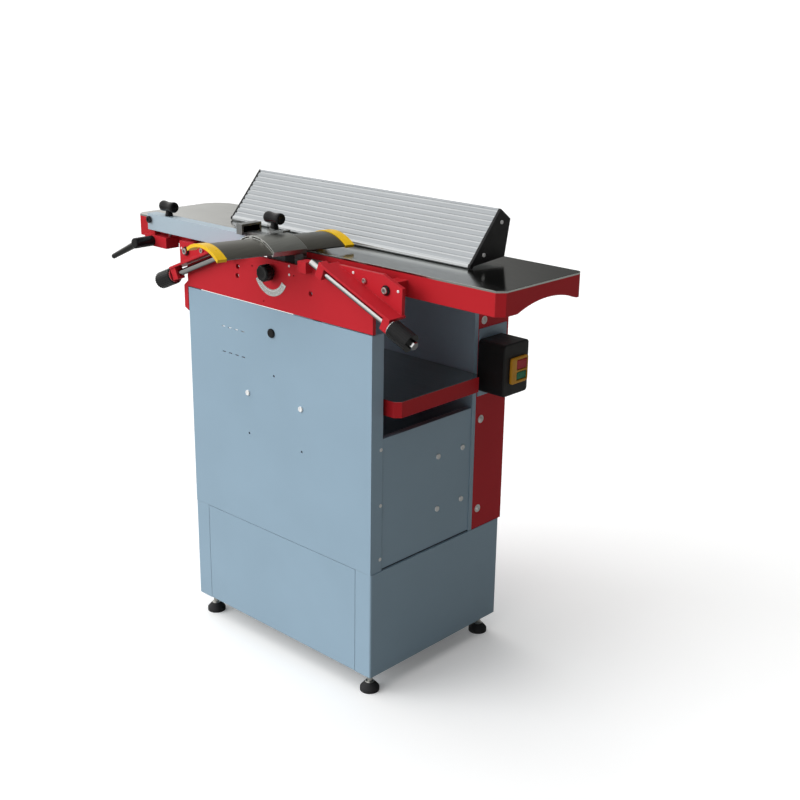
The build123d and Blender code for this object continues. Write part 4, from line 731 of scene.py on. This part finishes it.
# The chrome's near-black patch colour where it turns away from the eye is a painted reflection.
chrome = bare_metal(
    "chrome", chrome_colour, chrome_lines, 0.09, 0.015, patch=painted_dark_reflection, patch_colour=(0.03, 0.03, 0.035)
)
dress(chrome, "infeed_lock_rod", "outfeed_lock_rod")
gloss_black = moulded("gloss black plastic", (0.011, 0.011, 0.012), (0.06, 0.06, 0.06), 0.20, 0.05)
dress(gloss_black, "infeed_grip", "outfeed_grip")
black_steel = bare_metal(
    "blackened steel", (0.05, 0.05, 0.055), (300.0, 300.0, 300.0), 0.38, 0.05, (0.4, 0.4, 0.4)
)
bracket_face = -195 * mm
small_screw = socket_screw("small bracket screw", 5.5 * mm, 4.0 * mm, 5.0 * mm)
large_screw = socket_screw("large bracket screw", 7.0 * mm, 5.5 * mm, 5.0 * mm)
spacer = round_mesh("spacer", [
    (0.0, 0.0), (9.6, 0.0), (10.0, 0.4), (10.0, 2.6), (9.6, 3.0), (7.6, 3.0), (7.4, 2.0), (0.0, 2.0),
], 32)
pin = domed_rivet("bracket rivet", 3.0 * mm, 1.4 * mm, 4.0 * mm)
for body, small_place, large_place, pin_places in (
    ("infeed", (249, 898), (306, 889), ((218, 909), (337, 892))),
    ("outfeed", (-249, 881), (-304, 872), ((-218, 885), (-321, 876))),
):
    small_spot, large_spot, *pin_spots = [
        Vector((x * mm, bracket_face, z * mm)) for x, z in (small_place, large_place, *pin_places)
    ]
    on_spacer = large_spot - Vector((0.0, 2.0 * mm, 0.0))
    bracket_meshes = [
        set_shapes("small screw", small_screw, [small_spot], to_front, zinc, 3),
        set_shapes("large screw", large_screw, [on_spacer], to_front, zinc, 6),
        set_shapes("spacer", spacer, [large_spot], to_front, black_steel, 1),
        set_shapes("rivets", pin, pin_spots, to_front, zinc, 2),
    ]
    bracket_screws = keep_mesh(body + "_bracket_screws", soft_shade(joined("bracket screws", bracket_meshes)))
    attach(bracket_screws, body)

# The cutting depth is set with a fluted black knob over a chromed arc with engraved ticks. The knob's neck
# goes into the plate behind it.
knob_x, knob_z = -7 * mm, 876 * mm


def fluted_knob(name):
    """Moulded knob about Z, its back at nought: flutes round the rim, a dished face and a neck. The third
    number of a ring is how far the flutes are cut into it."""
    profile = [
        (0.0, -8.0, 0.0), (6.0, -8.0, 0.0), (6.0, 0.3, 0.0), (11.0, 0.3, 0.0), (11.0, 5.0, 0.0),
        (16.6, 5.2, 0.5), (17.6, 6.2, 1.0), (18.0, 9.0, 1.0), (17.8, 22.0, 1.0), (17.0, 24.6, 0.9),
        (15.4, 25.8, 0.4), (13.0, 26.0, 0.0), (11.8, 25.4, 0.0), (6.0, 24.8, 0.0), (0.0, 24.8, 0.0),
    ]
    flutes = 10
    flute_depth = 1.7

    def fluted_reach(radius, share, angle):
        hollow = max(0.0, cos(flutes * angle)) ** 1.5
        return (radius - flute_depth * share * hollow) * mm

    return turned_mesh(name, [(r, height * mm, share) for r, height, share in profile], 120, fluted_reach)


def at_knob(y):
    """The place of a shape about the knob's axis that faces the front, with its Z nought at y."""
    return Matrix.Translation((knob_x, y, knob_z)) @ Matrix.Rotation(radians(90.0), 4, "X")


knob_mesh = fluted_knob("depth knob")
knob_mesh.transform(at_knob(front_face))
depth_knob = keep_mesh("depth_knob_fluted", soft_shade(knob_mesh, 50.0), gloss_black)
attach(depth_knob, "depth_knob")
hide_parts("depth_knob")
scale_chrome = bare_metal("scale chrome", chrome_colour, chrome_lines, 0.09, 0.015)
dress(scale_chrome, "depth_scale")

ink, tree, shader, coordinates = new_material("engraving ink")
tone = clouded(tree, coordinates, 300.0, 0.8, 1.2)
tree.links.new(toned(tree, tone, (0.012, 0.012, 0.014)), shader.inputs["Base Color"])
shader.inputs["Roughness"].default_value = 0.6
ticks_on_arc = bpy.data.node_groups.new("ticks on arc", "GeometryNodeTree")
for label, kind in (
    ("Places", "Geometry"), ("Count", "Int"), ("Radius", "Float"), ("Start", "Float"), ("Step", "Float"),
    ("Size", "Vector"), ("Finish", "Material"),
):
    ticks_on_arc.interface.new_socket(label, in_out="INPUT", socket_type="NodeSocket" + kind)
ticks_on_arc.interface.new_socket("Ticks", in_out="OUTPUT", socket_type="NodeSocketGeometry")
start = place(ticks_on_arc, "NodeGroupInput")
row = place(ticks_on_arc, "GeometryNodeMeshLine", mode="OFFSET")
number = place(ticks_on_arc, "GeometryNodeInputIndex")
turn_by = place(ticks_on_arc, "ShaderNodeMath", operation="MULTIPLY_ADD")
across, up = (place(ticks_on_arc, "ShaderNodeMath", operation=kind) for kind in ("COSINE", "SINE"))
spot = place(ticks_on_arc, "ShaderNodeCombineXYZ")
outwards = place(ticks_on_arc, "ShaderNodeVectorMath", operation="SCALE")
moved = place(ticks_on_arc, "GeometryNodeSetPosition")
lie = place(ticks_on_arc, "ShaderNodeCombineXYZ")
lie_turn = place(ticks_on_arc, "FunctionNodeEulerToRotation")
bar = place(ticks_on_arc, "GeometryNodeMeshCube")
copies = place(ticks_on_arc, "GeometryNodeInstanceOnPoints")
real = place(ticks_on_arc, "GeometryNodeRealizeInstances")
coat = place(ticks_on_arc, "GeometryNodeSetMaterial")
end = place(ticks_on_arc, "NodeGroupOutput")
for source, target in (
    (start.outputs["Count"], row.inputs["Count"]),
    (number.outputs["Index"], turn_by.inputs[0]),
    (start.outputs["Step"], turn_by.inputs[1]),
    (start.outputs["Start"], turn_by.inputs[2]),
    (turn_by.outputs["Value"], across.inputs[0]),
    (turn_by.outputs["Value"], up.inputs[0]),
    (across.outputs["Value"], spot.inputs["X"]),
    (up.outputs["Value"], spot.inputs["Y"]),
    (spot.outputs["Vector"], outwards.inputs[0]),
    (start.outputs["Radius"], outwards.inputs["Scale"]),
    (row.outputs["Mesh"], moved.inputs["Geometry"]),
    (outwards.outputs["Vector"], moved.inputs["Position"]),
    (turn_by.outputs["Value"], lie.inputs["Z"]),
    (lie.outputs["Vector"], lie_turn.inputs["Euler"]),
    (start.outputs["Size"], bar.inputs["Size"]),
    (moved.outputs["Geometry"], copies.inputs["Points"]),
    (bar.outputs["Mesh"], copies.inputs["Instance"]),
    (lie_turn.outputs["Rotation"], copies.inputs["Rotation"]),
    (copies.outputs["Instances"], real.inputs["Geometry"]),
    (real.outputs["Geometry"], coat.inputs["Geometry"]),
    (start.outputs["Finish"], coat.inputs["Material"]),
    (coat.outputs["Geometry"], end.inputs["Ticks"]),
):
    ticks_on_arc.links.new(source, target)
tick_meshes = []
for count, first, step, radius, length, width in (
    (27, 210.0, 4.5, 48.4, 3.2, 0.7),
    (7, 210.0, 18.0, 47.2, 5.6, 0.9),
    (80, 208.0, 1.5, 40.0, 1.2, 1.3),
    (4, 328.6, 1.3, 44.4, 10.0, 1.3),
):
    tick_meshes.append(run_tree(
        "ticks", ticks_on_arc, bpy.data.meshes.new("no places"), Count=count, Radius=radius * mm,
        Start=radians(first), Step=radians(step), Size=(length * mm, width * mm, 0.2 * mm), Finish=ink,
    ))
scale_face = -209.55 * mm
scale_mesh = joined("scale ticks", tick_meshes)
scale_mesh.transform(at_knob(scale_face))
scale_ticks = keep_mesh("depth_scale_ticks", scale_mesh)
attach(scale_ticks, "frame")

# The fence is an aluminium extrusion with grooves along its face, satin anodised, with black moulded caps
# screwed to its ends. The floors of the grooves and the round foot are painted paler than the face, as
# painted highlights.
fence_joint = next(joint for joint in frame["record"]["behaviour"]["joints"] if joint["name"] == "fence_tilt")
fence_hinge = Vector(fence_joint["pos_m"])
fence_lean = radians(41.0)
face_out = Vector((0.0, -cos(fence_lean), sin(fence_lean)))
face_up = Vector((0.0, sin(fence_lean), cos(fence_lean)))
face_level = face_out.dot(fence_hinge) + 3.5 * mm
foot_level = face_up.dot(fence_hinge) + 5.0 * mm


def distance_along(tree, coordinates, direction, start):
    """How far a point lies along a direction, past a start."""
    node = place(tree, "ShaderNodeVectorMath", operation="DOT_PRODUCT")
    node.inputs[1].default_value = direction
    tree.links.new(coordinates, node.inputs[0])
    return counted(tree, "SUBTRACT", node.outputs["Value"], start)


def between(tree, coordinates, direction, low, high):
    """One where a point lies between two distances along a direction, else nought."""
    off_middle = distance_along(tree, coordinates, direction, (low + high) / 2)
    return counted(tree, "LESS_THAN", counted(tree, "ABSOLUTE", off_middle, 0.0), (high - low) / 2)


def groove_and_foot_highlight(tree, coordinates):
    """The floors of the face's grooves and the round foot under them, painted paler as a painted highlight.
    """
    in_groove = between(tree, coordinates, face_out, face_level - 2.0 * mm, face_level - 0.6 * mm)
    on_foot = between(tree, coordinates, face_up, foot_level - 20.0 * mm, foot_level)
    return counted(tree, "MAXIMUM", in_groove, on_foot)


# The paler patch colour on the groove floors and the foot is a painted highlight.
satin_aluminium = bare_metal(
    "satin aluminium", (0.520, 0.550, 0.585), (5.0, 500.0, 500.0), 0.36, 0.010, (0.80, 0.82, 0.84), 0.3,
    patch=groove_and_foot_highlight, patch_colour=(0.74, 0.77, 0.80),
)
dress(satin_aluminium, "fence_extrusion")
dress(matt_black, "fence_end_caps")
cap_screw = socket_screw("cap screw", 4.0 * mm, 2.2 * mm, 6.0 * mm)
fence_low, fence_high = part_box("fence_end_caps")
cap_meshes = []
for x, turn in ((fence_high.x, to_infeed), (fence_low.x, to_outfeed)):
    cap_places = [(x, 43 * mm, 1001 * mm), (x, -9 * mm, 943 * mm)]
    cap_meshes.append(set_shapes("cap screws", cap_screw, cap_places, turn, zinc, 8))
cap_screws = keep_mesh("fence_cap_screws", soft_shade(joined("cap screws", cap_meshes)))
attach(cap_screws, "fence")

# The cutter guard is an arched aluminium strip, dark anodised and brushed across, with bright yellow caps.
# It slides in an extruded sleeve, paler, whose sawn ends show bright metal round three hollow chambers.
guard_metal = bare_metal(
    "guard aluminium", (0.165, 0.162, 0.142), (160.0, 20.0, 200.0), 0.36, 0.07, (0.7, 0.7, 0.66), 0.6, 0.001
)
dress(guard_metal, "guard_profile")
bright_yellow = moulded("bright yellow plastic", (0.82, 0.50, 0.006), (0.92, 0.70, 0.12), 0.30, 0.10)
dress(bright_yellow, "guard_caps")
guard_turn = radians(13.0)
guard_along = Vector((-sin(guard_turn), -cos(guard_turn), 0.0))
guard_middle = guard_along.dot(Vector((6.6, -218.4, 932.0))) * mm
sleeve_start = guard_middle - 41.6 * mm
sleeve_end = guard_middle + 33.6 * mm


def sawn_ends(tree, coordinates):
    """The end faces of the sleeve."""
    sleeve_skin = between(tree, coordinates, guard_along, sleeve_start, sleeve_end)
    return counted(tree, "SUBTRACT", 1.0, sleeve_skin)


sleeve_metal = bare_metal(
    "sleeve aluminium", (0.340, 0.350, 0.330), (160.0, 20.0, 200.0), 0.33, 0.07, (0.8, 0.8, 0.76), 0.7, 0.001,
    patch=sawn_ends, patch_colour=(0.90, 0.91, 0.90),
)
dress(sleeve_metal, "guard_sleeve")

# The guard's arm is a pale blue-grey channel that turns on a bolt in a red bracket. A grey box clamp on its
# end, with painted shade on the walls of its hollow, reaches over the sleeve with a thin saddle.
arm_coat = painted("arm coat", (0.400, 0.490, 0.560), (0.60, 0.68, 0.74), gloss=0.38)
dress(arm_coat, "guard_arm")
dress(red_coat, "arm_bracket")
dress(gloss_black, "arm_lever")
clamp_low, clamp_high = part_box("guard_clamp_block")
clamp_wall = 4.0 * mm
clamp_mouth = 17.7 * mm


def clamp_hollow_shade(tree, coordinates):
    """The walls of the box clamp's hollow, which is open to the infeed end; they get painted shade."""
    across = between(tree, coordinates, (1.0, 0.0, 0.0), clamp_low.x + clamp_wall, clamp_low.x + clamp_mouth)
    deep = between(tree, coordinates, (0.0, 1.0, 0.0), clamp_low.y + clamp_wall, clamp_high.y - clamp_wall)
    high = between(tree, coordinates, (0.0, 0.0, 1.0), clamp_low.z + clamp_wall, clamp_high.z - clamp_wall)
    return counted(tree, "MULTIPLY", across, counted(tree, "MULTIPLY", deep, high))


# The near-black patch colour inside the clamp's hollow is painted shade.
clamp_metal = bare_metal(
    "clamp aluminium", (0.330, 0.345, 0.350), (160.0, 160.0, 160.0), 0.40, 0.04, (0.75, 0.76, 0.77), 0.6,
    0.001, patch=clamp_hollow_shade, patch_colour=(0.006, 0.006, 0.007),
)
dress(clamp_metal, "guard_clamp_block")
pivot_bolt = socket_screw("pivot bolt", 8.0 * mm, 4.0 * mm, 2.0 * mm)
pivot_place = (-450 * mm, -185 * mm, 922 * mm)
pivot_mesh = set_shapes("pivot bolt", pivot_bolt, [pivot_place], to_front, black_steel, 2)
pivot = keep_mesh("arm_pivot_bolt", soft_shade(pivot_mesh))
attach(pivot, "outfeed")

# Three clamp knobs hold the arm, the guard and the fence. Each is a glossy black bar, waisted in the middle
# and dished at its round ends, moulded on a short neck with a zinc-plated screw.
bar_half = 23.0
bar_height = 21.0
bar_radius = 12.0
waist_radius = 10.4
half_profile = [
    (0.0, 22.2), (6.5, 22.2), (8.8, bar_half), (10.6, 22.3), (11.8, 20.2), (bar_radius, 17.5), (11.5, 12.0),
    (10.7, 6.0),
]
bar_profile = [(radius, -reach) for radius, reach in half_profile]
bar_profile += [(waist_radius, 0.0), *reversed(half_profile)]
neck_profile = [
    (0.0, -1.0), (6.0, -1.0), (8.4, 0.0), (9.0, 0.6), (9.0, 3.0), (7.6, 7.0), (7.2, 12.0), (7.2, 15.5),
    (0.0, 15.5),
]
lie_across = Matrix.Translation((0.0, 0.0, bar_height * mm)) @ Matrix.Rotation(radians(90.0), 4, "Y")
for node_name, body in (
    ("arm_knob", "arm_clamp"), ("guard_knob", "guard_clamp"), ("fence_clamp_knob", "fence_clamp"),
):
    low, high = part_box(node_name)
    neck_base = high.z - (bar_height + bar_radius) * mm
    axis = Matrix.Translation(((low.x + high.x) / 2, (low.y + high.y) / 2, neck_base))
    bar = round_mesh("bar", bar_profile, 40)
    bar.transform(axis @ lie_across)
    neck = round_mesh("neck", neck_profile, 32)
    screw_length = neck_base - low.z
    screw = rings_mesh("screw", [
        (0.0, -screw_length, 0), (3.2 * mm, -screw_length, 0), (4.0 * mm, 0.8 * mm - screw_length, 0),
        (4.0 * mm, 1.0 * mm, 0), (0.0, 1.0 * mm, 0),
    ])
    for mesh, finish in ((bar, gloss_black), (neck, gloss_black), (screw, zinc)):
        mesh.materials.append(finish)
    neck.transform(axis)
    screw.transform(axis)
    knob = keep_mesh(node_name + "_bar", soft_shade(joined("knob", [bar, neck, screw]), 50.0))
    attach(knob, body)
    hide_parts(node_name)

# The switch: a black moulded box on a grey plate, with a yellow bezel round a red stop button and a green
# start button. The bezel is one moulding with a wide strip at its front and a rounded rim.
dress(matt_black, "switch_box")
bezel_yellow = moulded("bezel yellow plastic", (0.60, 0.285, 0.020), (0.80, 0.50, 0.10), 0.35, 0.12)
button_red = moulded("button red plastic", (0.42, 0.022, 0.030), (0.60, 0.12, 0.12), 0.30, 0.08)
dress(button_red, "stop_button")
button_green = moulded("button green plastic", (0.010, 0.185, 0.085), (0.10, 0.34, 0.22), 0.30, 0.08)
dress(button_green, "start_button")


def flat_shape(name, outlines, thickness, rounding):
    """A plate on the plane of X and Y, from Z nought up, with its outlines' edges rounded. Each outline is a
    list of (x, y) points; outlines inside the first one are holes."""
    curve = bpy.data.curves.new(name, "CURVE")
    curve.dimensions = "2D"
    curve.fill_mode = "BOTH"
    curve.extrude = thickness / 2 - rounding
    curve.bevel_depth = rounding
    curve.bevel_resolution = 2
    curve.offset = -rounding
    for outline in outlines:
        line = curve.splines.new("POLY")
        line.points.add(len(outline) - 1)
        for point, (x, y) in zip(line.points, outline):
            point.co = (x, y, 0.0, 1.0)
        line.use_cyclic_u = True
    holder = bpy.data.objects.new(name, curve)
    scene.collection.objects.link(holder)
    depsgraph = bpy.context.evaluated_depsgraph_get()
    mesh = bpy.data.meshes.new_from_object(holder.evaluated_get(depsgraph), depsgraph=depsgraph)
    bpy.data.objects.remove(holder)
    shape = bmesh.new()
    shape.from_mesh(mesh)
    bmesh.ops.remove_doubles(shape, verts=shape.verts, dist=0.00001)
    bmesh.ops.recalc_face_normals(shape, faces=shape.faces)
    shape.to_mesh(mesh)
    shape.free()
    mesh.transform(Matrix.Translation((0.0, 0.0, thickness / 2)))
    return mesh


def rounded_box(low, high, radius):
    """The outline of a rectangle with round corners, from one (x, y) corner to the other."""
    points = []
    left, bottom = low[0] + radius, low[1] + radius
    right, top = high[0] - radius, high[1] - radius
    for x, y, first in ((right, top, 0.0), (left, top, 90.0), (left, bottom, 180.0), (right, bottom, 270.0)):
        for step in range(7):
            angle = radians(first + 15.0 * step)
            points.append((x + radius * cos(angle), y + radius * sin(angle)))
    return points


face_low, face_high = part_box("switch_face")
bezel_play = 0.8 * mm
bezel_outlines = [rounded_box((face_low.y, face_low.z), (face_high.y, face_high.z), 5.0 * mm)]
for node_name in ("stop_button", "start_button"):
    low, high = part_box(node_name)
    window_low = (low.y - bezel_play, low.z - bezel_play)
    window_high = (high.y + bezel_play, high.z + bezel_play)
    bezel_outlines.append(rounded_box(window_low, window_high, 2.5 * mm))
bezel_mesh = flat_shape("bezel", bezel_outlines, 6.0 * mm, 1.0 * mm)
stand_up = Matrix(((0.0, 0.0, 1.0, 0.0), (1.0, 0.0, 0.0, 0.0), (0.0, 1.0, 0.0, 0.0), (0.0, 0.0, 0.0, 1.0)))
bezel_mesh.transform(Matrix.Translation((face_low.x, 0.0, 0.0)) @ stand_up)
bezel = keep_mesh("switch_bezel", soft_shade(bezel_mesh, 40.0), bezel_yellow)
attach(bezel, "frame")
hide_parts("switch_face")
